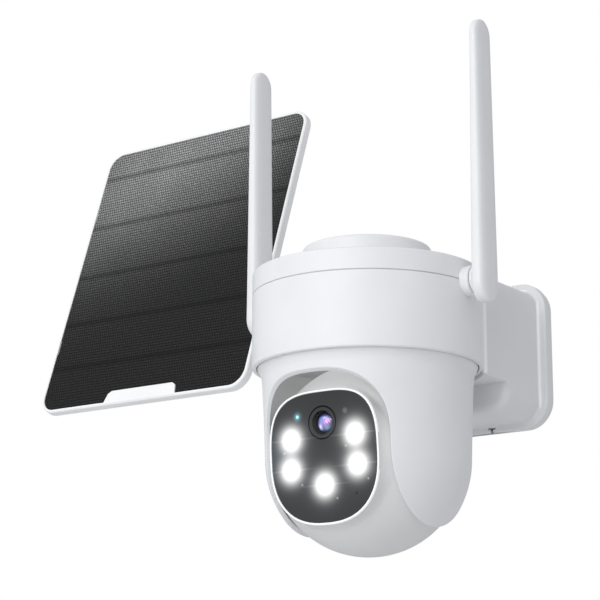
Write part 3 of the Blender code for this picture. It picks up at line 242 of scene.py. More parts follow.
def piece(obj, body, node, sharp=32, weighted=True):
    """Finishes a replacement: smooth shading, the body it rides on and the node it stands for."""
    obj.data.shade_smooth()
    obj.data.set_sharp_from_angle(angle=radians(sharp))
    if weighted:
        made = obj.modifiers.new("even_normals", "WEIGHTED_NORMAL")
        made.keep_sharp = True
        made.weight = 60
    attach(obj, body)
    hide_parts(node)


# --- materials


class Nodes:
    """Short calls for the shader nodes that this scene uses."""

    def __init__(self, tree):
        self.tree = tree

    def node(self, kind, inputs=(), **settings):
        made = self.tree.nodes.new("ShaderNode" + kind)
        for key, value in settings.items():
            setattr(made, key, value)
        for key, value in dict(inputs).items():
            self.feed(made.inputs[key], value)
        return made

    def feed(self, socket, value):
        if isinstance(value, bpy.types.NodeSocket):
            self.tree.links.new(value, socket)
        elif isinstance(value, (tuple, list)) and len(value) == 3 and socket.type == "RGBA":
            socket.default_value = (*value, 1.0)
        else:
            socket.default_value = value

    def math(self, operation, first, second=0.0):
        return self.node("Math", {0: first, 1: second}, operation=operation).outputs[0]

    def times(self, first, second):
        return self.math("MULTIPLY", first, second)

    def minus(self, first, second):
        return self.math("SUBTRACT", first, second)

    def plus(self, total, *values):
        for value in values:
            total = self.math("ADD", total, value)
        return total

    def off(self, value, at, width):
        """Distance from a place on one axis, in widths."""
        return self.math("DIVIDE", self.minus(value, at), width)

    def bell(self, *offsets):
        """Bell curve of the offsets: one at the middle, falling off to nothing."""
        squares = self.plus(*(self.times(offset, offset) for offset in offsets))
        return self.math("EXPONENT", self.times(squares, -1))

    def remap(self, value, *limits):
        """From low and high to the last two of the limits, clamped."""
        return self.node("MapRange", dict(enumerate((value, *limits)))).outputs[0]

    def split(self, vector):
        return self.node("SeparateXYZ", {0: vector}).outputs

    def join(self, *axes):
        return self.node("CombineXYZ", dict(enumerate(axes))).outputs[0]

    def blend(self, share, first, second):
        """Share of the second shader over the first."""
        return self.node("MixShader", {0: share, 1: first, 2: second}).outputs[0]


class Surface(Nodes):
    """A node material around one principled shader."""

    def __init__(self, name):
        self.material = bpy.data.materials.new(name)
        self.material.use_nodes = True
        super().__init__(self.material.node_tree)
        self.shader = self.tree.nodes["Principled BSDF"]
        self.output = self.tree.nodes["Material Output"]
        self.place = self.node("TexCoord").outputs["Object"]

    def noise(self, scale, detail=2.0, rough=0.5, place=None):
        inputs = {"Vector": place or self.place, "Scale": scale, "Detail": detail, "Roughness": rough}
        return self.node("TexNoise", inputs).outputs["Fac"]

    def mix(self, share, first, second):
        return self.node("Mix", {"Factor": share, 6: first, 7: second}, data_type="RGBA").outputs[2]

    def bump(self, height, strength, distance):
        made = self.node("Bump", {"Strength": strength, "Distance": distance, "Height": height})
        self.set(Normal=made.outputs[0])

    def set(self, **values):
        for key, value in values.items():
            self.feed(self.shader.inputs[key.replace("_", " ")], value)

    def show(self, shader):
        """Puts a shader on the surface in place of the principled one."""
        self.feed(self.output.inputs["Surface"], shader)


def scaled(colour, factor):
    return tuple(min(1.0, channel * factor) for channel in colour)


def plastic(name, colour, roughness=0.45, grain=0.03, fine=2400, spread=0.025, glow=0.0):
    """Injection-moulded plastic: spark-eroded grain, faint flow in tone and gloss, and, where glow is given,
    a faint glow as painted light.
    """
    made = Surface(name)
    flow = made.noise(38, 3)
    speck = made.noise(fine, 2, 0.6)
    tone = made.remap(flow, 0.3, 0.7, 0, 1)
    made.set(Base_Color=made.mix(tone, scaled(colour, 1 - spread), scaled(colour, 1 + spread * 0.4)))
    shine = made.remap(flow, 0.3, 0.7, roughness - 0.03, roughness + 0.03)
    made.set(Roughness=made.plus(shine, made.times(speck, 0.08)))
    made.set(Emission_Color=(1.0, 1.0, 1.0), Emission_Strength=glow)
    made.bump(speck, grain * 10, grain * MM)
    return made


def moulded(name, colour, *looks, **more):
    return plastic(name, colour, *looks, **more).material


def ball_material():
    """Plastic with painted light: it glows a little high up in the room, where light comes down through the
    yoke's arch.
    """
    made = plastic("white_ball_painted_light", (0.78, 0.78, 0.782), 0.42, 0.01)
    height = made.split(made.node("NewGeometry").outputs["Position"])[2]
    made.set(Emission_Strength=made.remap(height, TILT_AT.z + 18 * MM, TILT_AT.z + 34 * MM, 0, 0.26))
    return made.material


def brushed(name, colour, roughness=0.32):
    """Turned or drawn metal with fine lines."""
    made = Surface(name)
    axes = zip(made.split(made.place), (60, 60, 3200))
    streak = made.noise(1.0, 3, 0.6, made.join(*(made.times(*axis) for axis in axes)))
    made.set(Base_Color=made.mix(streak, scaled(colour, 0.82), colour), Metallic=1.0)
    made.set(Roughness=made.remap(streak, 0.3, 0.7, roughness - 0.08, roughness + 0.1))
    made.bump(streak, 0.15, 0.02 * MM)
    return made.material


def board_material():
    """Green solder mask over copper tracks, with vias."""
    made = Surface("circuit_board_finish")
    cells = made.node("TexVoronoi", {"Vector": made.place, "Scale": 320}, distance="MANHATTAN", feature="F1")
    track = made.remap(cells.outputs["Distance"], 0.28, 0.34, 0, 1)
    weave = made.noise(900)
    mask = made.mix(track, (0.012, 0.105, 0.045), (0.02, 0.19, 0.075))
    made.set(Base_Color=made.mix(made.remap(weave, 0.62, 0.68, 0, 0.5), mask, (0.5, 0.42, 0.2)))
    made.set(Roughness=made.remap(weave, 0.3, 0.7, 0.28, 0.42))
    made.bump(track, 0.3, 0.03 * MM)
    return made.material


def wrap_material():
    """Shrink-wrapped battery cell with a band at each end."""
    made = Surface("battery_wrap_finish")
    along = made.math("ABSOLUTE", made.split(made.place)[0])
    crease = made.noise(420, 3)
    band = made.remap(along, 27.5 * MM, 27.7 * MM, 0, 1)
    made.set(Base_Color=made.mix(band, (0.03, 0.13, 0.42), (0.7, 0.72, 0.74)))
    made.set(Roughness=made.remap(crease, 0.3, 0.7, 0.25, 0.45))
    made.bump(crease, 0.2, 0.05 * MM)
    return made.material


# Places on the window, in its own frame: right, up
LENS_AT = mm(0.0, 15.3)
LED_AT = mm((-17.9, 8.6), (17.9, 8.6), (-18.6, -5.6), (18.6, -5.6), (0.0, -13.7))
STATUS_AT = mm(-13.9, 19.2)
SENSOR_AT = mm(13.0, 19.6)
HAZE_AT = mm(-23.0, 1.5)
MICROPHONE_AT = mm(17.4, -18.8)
PINPOINTS = mm((12.6, 3.3), (-22.2, 2.8), (-12.7, -12.8), (24.1, -12.8), (6.6, -20.4))
CLEAR_RADIUS = 5.65 * MM
PAINTED_RING_RADIUS = 7.6 * MM
LAMP_COLOUR = (1.0, 1.0, 1.0)
STATUS_COLOUR = (0.35, 0.80, 1.0)
PANE_IOR = 1.12  # weaker than real acrylic, as the lens has to show through


def window_material():
    """Smoked acrylic: clear over the lens, lit from behind by five lamps that glow through the tint."""
    made = Surface("tinted_window_finish")
    x, _, z = made.split(made.place)
    flat = made.join(x, 0.0, z)

    def away(at):
        inputs = {0: flat, 1: (at[0], 0.0, at[1])}
        return made.node("VectorMath", inputs, operation="DISTANCE").outputs["Value"]

    def spot(at, radius, soft):
        return made.remap(away(at), radius - soft, radius + soft, 1, 0)

    def halo(at, width):
        return made.bell(made.math("DIVIDE", away(at), width))

    ring = made.math("ABSOLUTE", made.minus(away(LENS_AT), PAINTED_RING_RADIUS))
    ring = made.remap(ring, 0.24 * MM, 0.48 * MM, 1, 0)
    behind = made.node("NewGeometry").outputs["Backfacing"]
    clear = made.math("MAXIMUM", spot(LENS_AT, CLEAR_RADIUS, 0.08 * MM), behind)
    speck = made.noise(1500)
    tint = made.mix(speck, (0.030, 0.032, 0.034), (0.036, 0.038, 0.040))
    tint = made.mix(ring, tint, (0.002, 0.002, 0.002))
    tint = made.mix(spot(MICROPHONE_AT, 0.6 * MM, 0.2 * MM), tint, (0.001, 0.001, 0.001))
    tint = made.mix(made.times(spot(SENSOR_AT, 1.2 * MM, 0.6 * MM), 0.7), tint, (0.16, 0.17, 0.18))
    made.set(Base_Color=tint, Roughness=made.remap(speck, 0.3, 0.7, 0.05, 0.09), IOR=1.49)
    made.set(Specular_IOR_Level=made.remap(ring, 0, 1, 0.5, 0.08))

    core = made.plus(*(halo(at, 5.0 * MM) for at in LED_AT))
    wide = made.plus(*(halo(at, 10.5 * MM) for at in LED_AT))
    thin = [(made.bell(made.off(z, at[1], 0.35 * MM)), halo(at, 9.5 * MM)) for at in LED_AT]
    streaks = made.plus(*(made.times(*pair) for pair in thin))
    dots = made.plus(*(halo(at, 0.45 * MM) for at in PINPOINTS))
    parts = (core, 2.2), (wide, 0.055), (streaks, 0.16), (dots, 0.35)
    glow = made.plus(*(made.times(*part) for part in parts))
    # The status light itself, plus a faint bluish haze painted over the left of the pane as painted light
    # from the left lamps.
    status_and_haze = made.plus(
        spot(STATUS_AT, 0.65 * MM, 0.35 * MM),
        made.times(halo(STATUS_AT, 1.6 * MM), 0.35),
        made.times(halo(HAZE_AT, 9.0 * MM), 0.03),
    )
    lights = [
        made.node("Emission", {"Color": colour, "Strength": strength}).outputs[0]
        for colour, strength in ((LAMP_COLOUR, glow), (STATUS_COLOUR, made.times(status_and_haze, 1.3)))
    ]
    through = made.node("BsdfTransparent").outputs[0]
    gloss = made.node("BsdfGlossy", {"Roughness": 0.05}).outputs[0]
    edge = made.node("Fresnel", {"IOR": PANE_IOR}).outputs[0]
    body = made.blend(clear, made.shader.outputs[0], made.blend(edge, through, gloss))
    lit = made.node("AddShader", {0: lights[0], 1: lights[1]}).outputs[0]
    made.show(made.node("AddShader", {0: body, 1: lit}).outputs[0])
    return made.material


# Reflections painted into the lens's colour: right and up, half widths, colour
COATING_PAINTED_REFLECTIONS = (
    (mm(-2.3, -1.7), mm(1.1, 1.5), (0.72, 0.72, 1.0)),
    (mm(-1.8, 1.0), mm(1.3, 1.6), (0.20, 0.30, 0.62)),
    (mm(1.2, -2.2), mm(1.2, 0.9), (0.08, 0.34, 0.30)),
    (mm(1.3, 0.5), mm(1.5, 1.5), (0.95, 0.42, 0.92)),
    (mm(0.3, 2.3), mm(1.4, 0.6), (0.45, 0.55, 0.95)),
)
BANDED_PATCH = 3


def lens_material():
    """Coated front element: violet and blue reflections painted into the colour over a dark centre; the base
    tint is the coating's own.
    """
    made = Surface("coated_lens_painted_reflections")
    x, _, z = made.split(made.place)
    away = made.math("SQRT", made.plus(made.times(x, x), made.times(z, z)))
    slanted = made.plus(made.times(x, 0.9), made.times(z, 0.45))
    bands = made.remap(made.math("SINE", made.times(slanted, 5200.0)), -1, 1, 0.35, 1.0)
    colour = made.mix(made.remap(away, 0.6 * MM, 3.8 * MM, 0, 1), (0.20, 0.13, 0.48), (0.03, 0.03, 0.16))
    for index, (at, widths, patch) in enumerate(COATING_PAINTED_REFLECTIONS):
        share = made.bell(*(made.off(*axis) for axis in zip((x, z), at, widths)))
        if index == BANDED_PATCH:
            share = made.times(share, bands)
        colour = made.mix(share, colour, patch)
    speck = made.noise(900)
    made.set(Base_Color=colour, Roughness=made.remap(speck, 0.3, 0.7, 0.04, 0.08), Coat_Weight=0.6)
    # The painted reflections also glow a little, as painted light.
    made.set(Emission_Color=colour, Emission_Strength=0.45)
    return made.material


def lamp_material():
    """Silicone dome over a lit chip."""
    made = Surface("led_phosphor_finish")
    colour = made.mix(made.noise(1200), (1.0, 0.97, 0.90), (1.0, 1.0, 0.98))
    made.set(Base_Color=colour, Emission_Color=colour, Emission_Strength=2.0, Roughness=0.25)
    return made.material


SEPARATORS = mm(67.0, 33.9, 0.6, -30.0, -58.0)
# Painted sheen on the cells, a reflection painted into the colour: middle, spreads and slant
PAINTED_SHEEN_AT = mm(-20.0, 75.0)
PAINTED_SHEEN_SPREAD = mm(110.0, 53.0)
PAINTED_SHEEN_SLANT = 0.25


def solar_material():
    """Dark cells under an embossed film: short dashes in staggered columns, soft seams between the cells,
    and a sheen painted into the colour, brightest near the top and reaching further down on the left.
    """
    made = Surface("solar_cells_painted_sheen")
    x, _, z = made.split(made.place)
    weave = {
        "Vector": made.join(x, z, 0.0),
        "Scale": 1.0,
        "Brick Width": 1.66 * MM,
        "Row Height": 1.72 * MM,
        "Mortar Size": 0.34 * MM,
        "Mortar Smooth": 0.7,
        "Bias": 0.0,
    }
    dash = made.minus(1.0, made.node("TexBrick", weave, offset=0.5).outputs["Fac"])
    seam = 0.0
    for at in SEPARATORS:
        near = made.remap(made.math("ABSOLUTE", made.minus(z, at)), 0.4 * MM, 2.6 * MM, 0.42, 0)
        seam = made.math("MAXIMUM", seam, near)

    # Painted sheen: a slanted bell of brightness in the colour
    rise = made.times(made.minus(x, PAINTED_SHEEN_AT[0]), PAINTED_SHEEN_SLANT)
    up = made.math("DIVIDE", made.minus(made.minus(z, PAINTED_SHEEN_AT[1]), rise), PAINTED_SHEEN_SPREAD[1])
    sheen = made.bell(made.off(x, PAINTED_SHEEN_AT[0], PAINTED_SHEEN_SPREAD[0]), up)
    patch = made.noise(30, 3)
    tone = made.plus(made.times(sheen, 0.175), 0.012)
    shades = (patch, 0.3, 0.7, 0.9, 1.1), (made.noise(700), 0.25, 0.75, 0.6, 1.4), (dash, 0, 1, 0.25, 2.0)
    for shade in shades:
        tone = made.times(tone, made.remap(*shade))
    tone = made.times(tone, made.minus(1.0, seam))
    made.set(Base_Color=made.join(tone, tone, tone), Roughness=made.remap(patch, 0.3, 0.7, 0.46, 0.56))
    made.set(Specular_IOR_Level=0.08)
    made.bump(dash, 0.5, 0.10 * MM)
    return made.material


def black_material():
    made = plastic("black_matt_finish", (0.006, 0.006, 0.007), 0.6, 0.04, 1800, 0.2)
    made.set(Specular_IOR_Level=0.1)
    return made.material


WHITE = moulded("white_plastic_finish", (0.84, 0.845, 0.86), 0.42)
WHITE_MATT = moulded("white_plastic_matt_finish", (0.80, 0.805, 0.82), 0.55)
WHITE_PANEL = moulded("white_panel_finish", (0.93, 0.93, 0.935), 0.42)
WHITE_SMOOTH = moulded("white_smooth_finish", (0.84, 0.845, 0.86), 0.42, 0.006)
BALL_WITH_PAINTED_LIGHT = ball_material()
# These glow faintly as painted light, in place of studio light that the two lamps don't give; the inner one
# is also a darker white, as painted shade inside the yoke.
RIM_PAINTED_HIGHLIGHT = moulded("white_rim_painted_highlight", (0.88, 0.885, 0.89), 0.3, glow=0.22)
INNER_PAINTED_LIGHT_AND_SHADE = moulded("white_inner_painted_light_and_shade", (0.72, 0.72, 0.72), 0.5, glow=0.07)
FILLET_PAINTED_HIGHLIGHT = moulded("white_fillet_painted_highlight", (0.84, 0.845, 0.86), 0.35, glow=0.10)
DARK = moulded("dark_plastic_finish", (0.045, 0.046, 0.05), 0.5, 0.04, 1800, 0.15)
BLACK_MATT = black_material()
RUBBER = moulded("black_rubber_finish", (0.022, 0.022, 0.023), 0.62, 0.05, 1600, 0.2)
SEAL = moulded("seal_finish", (0.62, 0.62, 0.63), 0.6, 0.05, 1600, 0.1)
STEEL = brushed("steel_finish", (0.62, 0.62, 0.63))
MOTOR = brushed("motor_can_finish", (0.72, 0.72, 0.70), 0.36)
BOARD = board_material()
WRAP = wrap_material()
LAMP = lamp_material()
LENS = lens_material()
WINDOW = window_material()
CELLS_WITH_PAINTED_SHEEN = solar_material()


# --- drum


DRUM_WALL = 2.1 * MM
FLOOR_DROP = 27.0 * MM  # from the seam to the underside of the drum's floor
FLOOR_THICKNESS = 2.5 * MM
HUB_RADIUS = 15.0 * MM
COVER_HOLE_RADIUS = 22.7 * MM
COVER_THICKNESS = 2.2 * MM
SEAL_WIDTH = 1.6 * MM
SEAL_WEB = 0.1 * MM  # how far the seam stands off the web that fills it
SEAL_SETBACK = 0.5 * MM
CAP_WALL = 2.0 * MM


def turned_sizes(node):
    """Outer radius, lowest and highest z of a turned node."""
    low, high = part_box(node)
    return (high.x - low.x) / 2, low.z, high.z


def on_drum_axis(node, profile, finish=WHITE, steps=192, closed=True):
    obj = lathe(node + "_skin", profile, finish, (0, DRUM_Y, 0), None, steps, closed)
    piece(bake_place(obj), "mount", node)


def drum():
    radius, lip, seam = turned_sizes("drum_shell")
    inner = radius - DRUM_WALL
    floor = seam - FLOOR_DROP
    above = floor + FLOOR_THICKNESS
    profile = [(radius, seam), (radius, lip), (inner, lip), (inner, floor)]
    profile += [(HUB_RADIUS, floor), (HUB_RADIUS, above), (inner, above), (inner, seam)]
    on_drum_axis("drum_shell", fillet(profile, mm(0.5, 1.3, 0.4, 0.5, 0, 0, 0, 0.1)))

    radius, base, top = turned_sizes("drum_cover")
    below = top - COVER_THICKNESS
    profile = [(COVER_HOLE_RADIUS, top), (radius, top), (radius, base)]
    profile += [(inner, base), (inner, below), (COVER_HOLE_RADIUS, below)]
    on_drum_axis("drum_cover", fillet(profile, mm(0.2, 1.2, 0.35, 0.1, 0.5, 0.2)))

    outer, low, high = turned_sizes("cover_seal")
    depth = radius - SEAL_SETBACK
    web_low, web_high = seam + SEAL_WEB * 0.5, base - SEAL_WEB * 0.5
    profile = [(outer, low), (outer, web_low), (depth, web_low), (depth, web_high), (outer, web_high)]
    profile += [(outer, high), (outer - SEAL_WIDTH, high), (outer - SEAL_WIDTH, low)]
    on_drum_axis("cover_seal", profile, SEAL)

    radius, base, top = turned_sizes("top_cap")
    inner, below = radius - CAP_WALL, top - CAP_WALL
    profile = [(0, top), (radius * 0.6, top), (radius, top), (radius, base)]
    profile += [(inner, base), (inner, below), (0, below)]
    profile = fillet(profile, mm(0, 0, 1.9, 0.3, 0.3, 1.0, 0), closed=False)
    on_drum_axis("top_cap", profile, steps=160, closed=False)


# --- yoke

YOKE_RADIUS = 49.5 * MM
YOKE_WALL = 2.2 * MM
YOKE_TOP = 51.5 * MM  # over the tilt axis
YOKE_TOP_RADIUS = 52.4 * MM
FLARE_START = 38.5 * MM  # over the tilt axis
FLARE_HEIGHT = 5.1 * MM
FLARE_RADIUS = 53.4 * MM
SLOT_HALF_WIDTH = 34.1 * MM
SLOT_HEIGHT = 34.4 * MM
SLOT_POWER = 3.0
SLOT_BACK = -25.0 * MM
LIP_WIDTH = 1.5 * MM  # sloping lip round the opening
LIP_ROUNDING = 0.4 * MM


def yoke_radius(z, wall=0.0):
    """Radius at this height over the tilt axis, of the outer skin or of one a wall further in."""
    if z <= 0:
        return sqrt(max((YOKE_RADIUS - wall) ** 2 - z**2, 0))
    share = z / YOKE_TOP
    radius = YOKE_RADIUS + (YOKE_TOP_RADIUS - YOKE_RADIUS) * (0.55 * share + 0.45 * share**3)
    flare = min(max((z - FLARE_START) / FLARE_HEIGHT, 0.0), 1.0)
    return radius + (FLARE_RADIUS - radius) * flare**2 - wall


def opening_point(step, wall):
    """Point of the opening's edge. Steps 0 to 1 follow the arch, 1 to 2 the cheek and 2 to 3 the back."""
    drop = sqrt((YOKE_RADIUS - wall) ** 2 - SLOT_HALF_WIDTH**2)
    last = pi - asin(-SLOT_BACK / drop)
    if step < 1:
        angle = step * pi / 2
        x = SLOT_HALF_WIDTH * max(sin(angle), 0) ** (2 / SLOT_POWER)
        z = SLOT_HEIGHT * max(cos(angle), 0) ** (2 / SLOT_POWER)
        return Vector((x, -sqrt(yoke_radius(z, wall) ** 2 - x**2), z))
    if step < 2:
        angle = (step - 1) * last
        return Vector((SLOT_HALF_WIDTH, -drop * cos(angle), -drop * sin(angle)))
    start = atan2(SLOT_HALF_WIDTH, drop * cos(last))
    angle = start + (pi - start) * min(step - 2, 1)
    radius = yoke_radius(SLOT_BACK, wall)
    return Vector((radius * sin(angle), -radius * cos(angle), SLOT_BACK))


def opening_steps(count):
    """Steps that lie evenly along the edge, from the arch's top to the middle of the back."""
    steps = np.linspace(0, 3, 3001)
    points = np.array([opening_point(step, 0.0) for step in steps])
    length = np.concatenate([[0], np.cumsum(np.linalg.norm(np.diff(points, axis=0), axis=1))])
    return np.interp(np.linspace(0, length[-1], count), length, steps)


def skin_point(angle, z, wall):
    radius = yoke_radius(z, wall)
    return Vector((radius * sin(angle), -radius * cos(angle), z))


def full_loop(half):
    """Mirrors a half loop, front to back on the right side, into a whole one."""
    return [tuple(co) for co in half] + [(-co[0], co[1], co[2]) for co in half[-2:0:-1]]


def skin_rows(edge, wall, rows, top):
    """Half rings from the opening's edge, already set back, up to the yoke's top."""
    angles = [atan2(co.x, -co.y) for co in edge]
    angles[0], angles[-1] = 0.0, pi
    tops = np.linspace(0, pi, len(edge))
    made = []
    for share in np.linspace(0, 1, rows):
        lean = share**1.3
        lines = zip(angles, tops, edge)
        spots = [(a + (end - a) * lean, co.z + (top - co.z) * share) for a, end, co in lines]
        made.append([skin_point(*spot, wall) for spot in spots])
    return made


def set_back(edge, wall, distance):
    """The opening's edge moved along the skin, away from the opening."""
    mirrored = [Vector((-co.x, co.y, co.z)) for co in (edge[1], edge[-2])]
    padded = [mirrored[0], *edge, mirrored[1]]
    moved = []
    for before, co, after in zip(padded, edge, padded[2:]):
        normal = Vector((co.x, co.y, min(co.z, 0)))
        away = normal.cross(after - before).normalized()
        shifted = co + away * distance
        moved.append(skin_point(atan2(shifted.x, -shifted.y), shifted.z, wall))
    return moved


def bezier(first, control, last, count):
    return [
        [a * (1 - t) ** 2 + b * 2 * t * (1 - t) + c * t**2 for a, b, c in zip(first, control, last)]
        for t in np.linspace(0, 1, count)
    ]


def yoke():
    steps = opening_steps(150)
    outer = [opening_point(step, 0.0) for step in steps]
    inner = [opening_point(step, YOKE_WALL) for step in steps]
    corner = set_back(outer, 0.0, LIP_WIDTH)
    skin_start = set_back(outer, 0.0, LIP_WIDTH + LIP_ROUNDING)
    inner_back = set_back(inner, YOKE_WALL, LIP_ROUNDING)
    slope = [(b - a).normalized() * LIP_ROUNDING for a, b in zip(corner, inner)]
    lip_start = [co + way for co, way in zip(corner, slope)]
    lip_end = [co - way for co, way in zip(inner, slope)]
    rings = skin_rows(skin_start, 0.0, 48, YOKE_TOP)[::-1]
    rings += bezier(skin_start, corner, lip_start, 6)[1:]
    rings += bezier(lip_end, inner, inner_back, 5)
    rings += skin_rows(inner_back, YOKE_WALL, 32, YOKE_TOP)[1:]
    centre = np.array(TILT_AT)
    rings = [np.array(full_loop(ring)) + centre for ring in rings]
    obj = sheet("yoke_shell_skin", rings, WHITE_SMOOTH, closed=True)
    # Faces inside the wall get a darker white as painted shade, glowing faintly as painted light.
    obj.data.materials.append(INNER_PAINTED_LIGHT_AND_SHADE)
    for face in obj.data.polygons:
        local = face.center - Vector(TILT_AT)
        away = local.length if local.z < 0 else hypot(local.x, local.y)
        skin = YOKE_RADIUS if local.z < 0 else yoke_radius(local.z)
        face.material_index = int(away < skin - YOKE_WALL * 0.7)
    piece(obj, "pan_head", "yoke_shell", sharp=50, weighted=False)


# --- ball

BALL_RADIUS = 46.5 * MM
BALL_WALL = 2.0 * MM
FACE_Y = -38.0 * MM
FACE_HALF_WIDTH = 30.5 * MM
FACE_HALF_HEIGHT = 31.4 * MM
FACE_CENTRE_Z = -0.7 * MM
FACE_TOP_POWER = 3.15
FACE_BOTTOM_POWER = 2.45
RIM = 0.9 * MM
LIP_PROUD = 0.25 * MM  # how far the rim stands in front of the window
WINDOW_THICKNESS = 1.8 * MM
BLEND_ANGLE = radians(50)
BALL_STEPS = 160
BALL_PLACE = Matrix.Translation(TILT_AT) @ Matrix.Rotation(BALL_REST_TILT, 4, "X")


def face_radius(direction):
    c = abs(cos(direction)) / FACE_HALF_WIDTH
    s = abs(sin(direction)) / FACE_HALF_HEIGHT
    power = FACE_TOP_POWER if sin(direction) > 0 else FACE_BOTTOM_POWER
    return (c**power + s**power) ** (-1 / power)


def face_ring(inward, y=0.0):
    ring = []
    for direction in around(BALL_STEPS):
        radius = face_radius(direction) - inward
        ring.append((radius * cos(direction), y, radius * sin(direction) + FACE_CENTRE_Z))
    return ring


def ball_point(direction, station, radius):
    """A point of the ball's skin. Station 0 is the face's edge, 1 the sphere's start, 2 its back pole."""
    c, s = cos(direction), sin(direction)
    polar = BLEND_ANGLE + max(station - 1, 0) * (pi - BLEND_ANGLE)
    start = Vector((radius * sin(polar) * c, -radius * cos(polar), radius * sin(polar) * s))
    if station >= 1:
        return start
    reach_out = face_radius(direction)
    edge = Vector((reach_out * c, FACE_Y, reach_out * s + FACE_CENTRE_Z))
    along = Vector((-cos(polar) * c, -sin(polar), -cos(polar) * s))
    forward = Vector((-0.22 * c, -1, -0.22 * s))
    reach = (edge - start).length
    t = 1 - station
    point = start * (2 * t**3 - 3 * t**2 + 1)
    point += along * reach * (t**3 - 2 * t**2 + t)
    point += edge * (3 * t**2 - 2 * t**3)
    point += forward * reach * (t**3 - t**2)
    return point


def ball_rings(radius, stations):
    directions = [tau * index / BALL_STEPS for index in range(BALL_STEPS)]
    return [[ball_point(direction, station, radius) for direction in directions] for station in stations]


def sphere_arc(radius, first, last, count):
    angles = np.linspace(first, last, count)
    return [(radius * sin(a), -radius * cos(a)) for a in angles]


def ball():
    inverse = BALL_PLACE.inverted()
    inside = BALL_RADIUS - BALL_WALL
    # Depth of the joint between the two shells
    split = max((inverse @ vert.co).y for vert in NODES["ball_front_shell"].data.vertices)
    polars = [acos(-split / radius) for radius in (BALL_RADIUS, inside)]
    last, last_inside = (1 + (polar - BLEND_ANGLE) / (pi - BLEND_ANGLE) for polar in polars)
    rings = ball_rings(BALL_RADIUS, np.linspace(1, last, 22)[::-1])
    rings += ball_rings(BALL_RADIUS, np.linspace(0, 1, 14)[::-1][1:])
    lip = ((0.06, 0.6), (0.20, 0.95), (0.38, 1.0))
    rings += [face_ring(inward * MM, FACE_Y - LIP_PROUD * share) for inward, share in lip]
    lip = ((0.20, 1.0), (0.06, 0.7), (0.0, 0.0))
    rings += [face_ring(RIM - inward * MM, FACE_Y - LIP_PROUD * share) for inward, share in lip]
    rings += [face_ring(inward, FACE_Y + WINDOW_THICKNESS + GAP) for inward in (RIM, BALL_WALL)]
    rings += ball_rings(inside, [1, *np.linspace(1, last_inside, 6)[1:]])
    obj = sheet("ball_front_skin", rings, BALL_WITH_PAINTED_LIGHT, closed=True)
    obj.matrix_world = BALL_PLACE
    bake_place(obj)
    # The rim round the window glows faintly, as a painted highlight.
    obj.data.materials.append(RIM_PAINTED_HIGHLIGHT)
    for face in obj.data.polygons:
        centre = inverse @ face.center
        inside_seat = hypot(centre.x, centre.z - FACE_CENTRE_Z) < FACE_HALF_WIDTH - BALL_WALL
        face.material_index = int(centre.y < FACE_Y + 0.35 * MM and not inside_seat)
    piece(obj, "ball", "ball_front_shell", sharp=50, weighted=False)

    edge, inner_edge = (acos(-(split + 0.05 * MM) / radius) for radius in (BALL_RADIUS, inside))
    profile = sphere_arc(BALL_RADIUS, pi, edge, 40) + sphere_arc(inside, inner_edge, pi, 16)
    obj = lathe("ball_rear_skin", profile, BALL_WITH_PAINTED_LIGHT, turn=Matrix.Rotation(-pi / 2, 3, "X"))
    obj.matrix_world = BALL_PLACE @ obj.matrix_world
    piece(bake_place(obj), "ball", "ball_rear_shell", sharp=50, weighted=False)


def local_piece(obj, node):
    """A piece of the ball whose own frame is the ball's."""
    obj.matrix_world = BALL_PLACE @ obj.matrix_world
    piece(obj, "ball", node)


def facing_front(obj, at):
    """Turns a lathe's +Z to the ball's front."""
    obj.data.transform(ALONG_Y.to_4x4())
    obj.matrix_world = Matrix.Translation(at)
    return obj


POCKET_RADIUS = 5.9 * MM  # behind the window, for the lens
LENS_RADIUS = 4.0 * MM
LENS_HEIGHT = 1.2 * MM
LED_RADIUS = 3.3 * MM
LED_Y = -32.8 * MM


def window():
    outline = [(x, z) for x, _, z in face_ring(RIM + 0.12 * MM)]
    obj = slab("window_skin", outline, FACE_Y, FACE_Y + WINDOW_THICKNESS, WINDOW, 0.35 * MM, 0.0)
    drill(obj, POCKET_RADIUS, 2 * MM, (0, FACE_Y + 1.7 * MM, LENS_AT[1]), ALONG_Y, 64)
    wear(obj, WINDOW)
    local_piece(obj, "window_glass")

    profile = mm((0, -12.0), (7.2, -12.0), (7.2, 0.0), (5.7, 0.0), (5.7, 1.3))
    profile += mm((5.3, 1.3), (5.0, 0.7), (4.8, 0.7), (4.3, -0.3), (0, -0.3))
    profile = fillet(profile, mm(0, 0.3, *[0.12] * 7, 0), closed=False, count=4)
    front = FACE_Y + WINDOW_THICKNESS + 2.0 * GAP
    obj = lathe("lens_barrel_skin", profile, BLACK_MATT, (0, front, LENS_AT[1]), ALONG_Y, 96)
    local_piece(obj, "lens_barrel")

    curve = (LENS_RADIUS**2 + LENS_HEIGHT**2) / (2 * LENS_HEIGHT)
    angles = np.linspace(0, asin(LENS_RADIUS / curve), 14)
    profile = [(curve * sin(a), curve * cos(a) - curve + LENS_HEIGHT) for a in angles]
    profile += [(LENS_RADIUS, -0.4 * MM), (0, -0.4 * MM)]
    obj = lathe("lens_element", profile, LENS, steps=64)
    local_piece(facing_front(obj, (0, front + 0.2 * MM, LENS_AT[1])), "lens_glass")

    angles = np.linspace(pi / 2, 0, 10)
    profile = [(LED_RADIUS * cos(a), 1.6 * MM * sin(a)) for a in angles]
    profile += [(LED_RADIUS, -0.8 * MM), (0, -0.8 * MM)]
    for number, (x, z) in enumerate(LED_AT, 1):
        obj = lathe(f"flood_lamp_{number}", profile, LAMP, steps=40)
        local_piece(facing_front(obj, (x, LED_Y - GAP - 0.6 * MM, z)), f"flood_led_{number}")


# --- antennas


BLADE_LOW_CAP = 8.6 * MM
BLADE_HIGH_CAP = 7.5 * MM
BLADE_POWER = 3.0  # how square the blade's section is


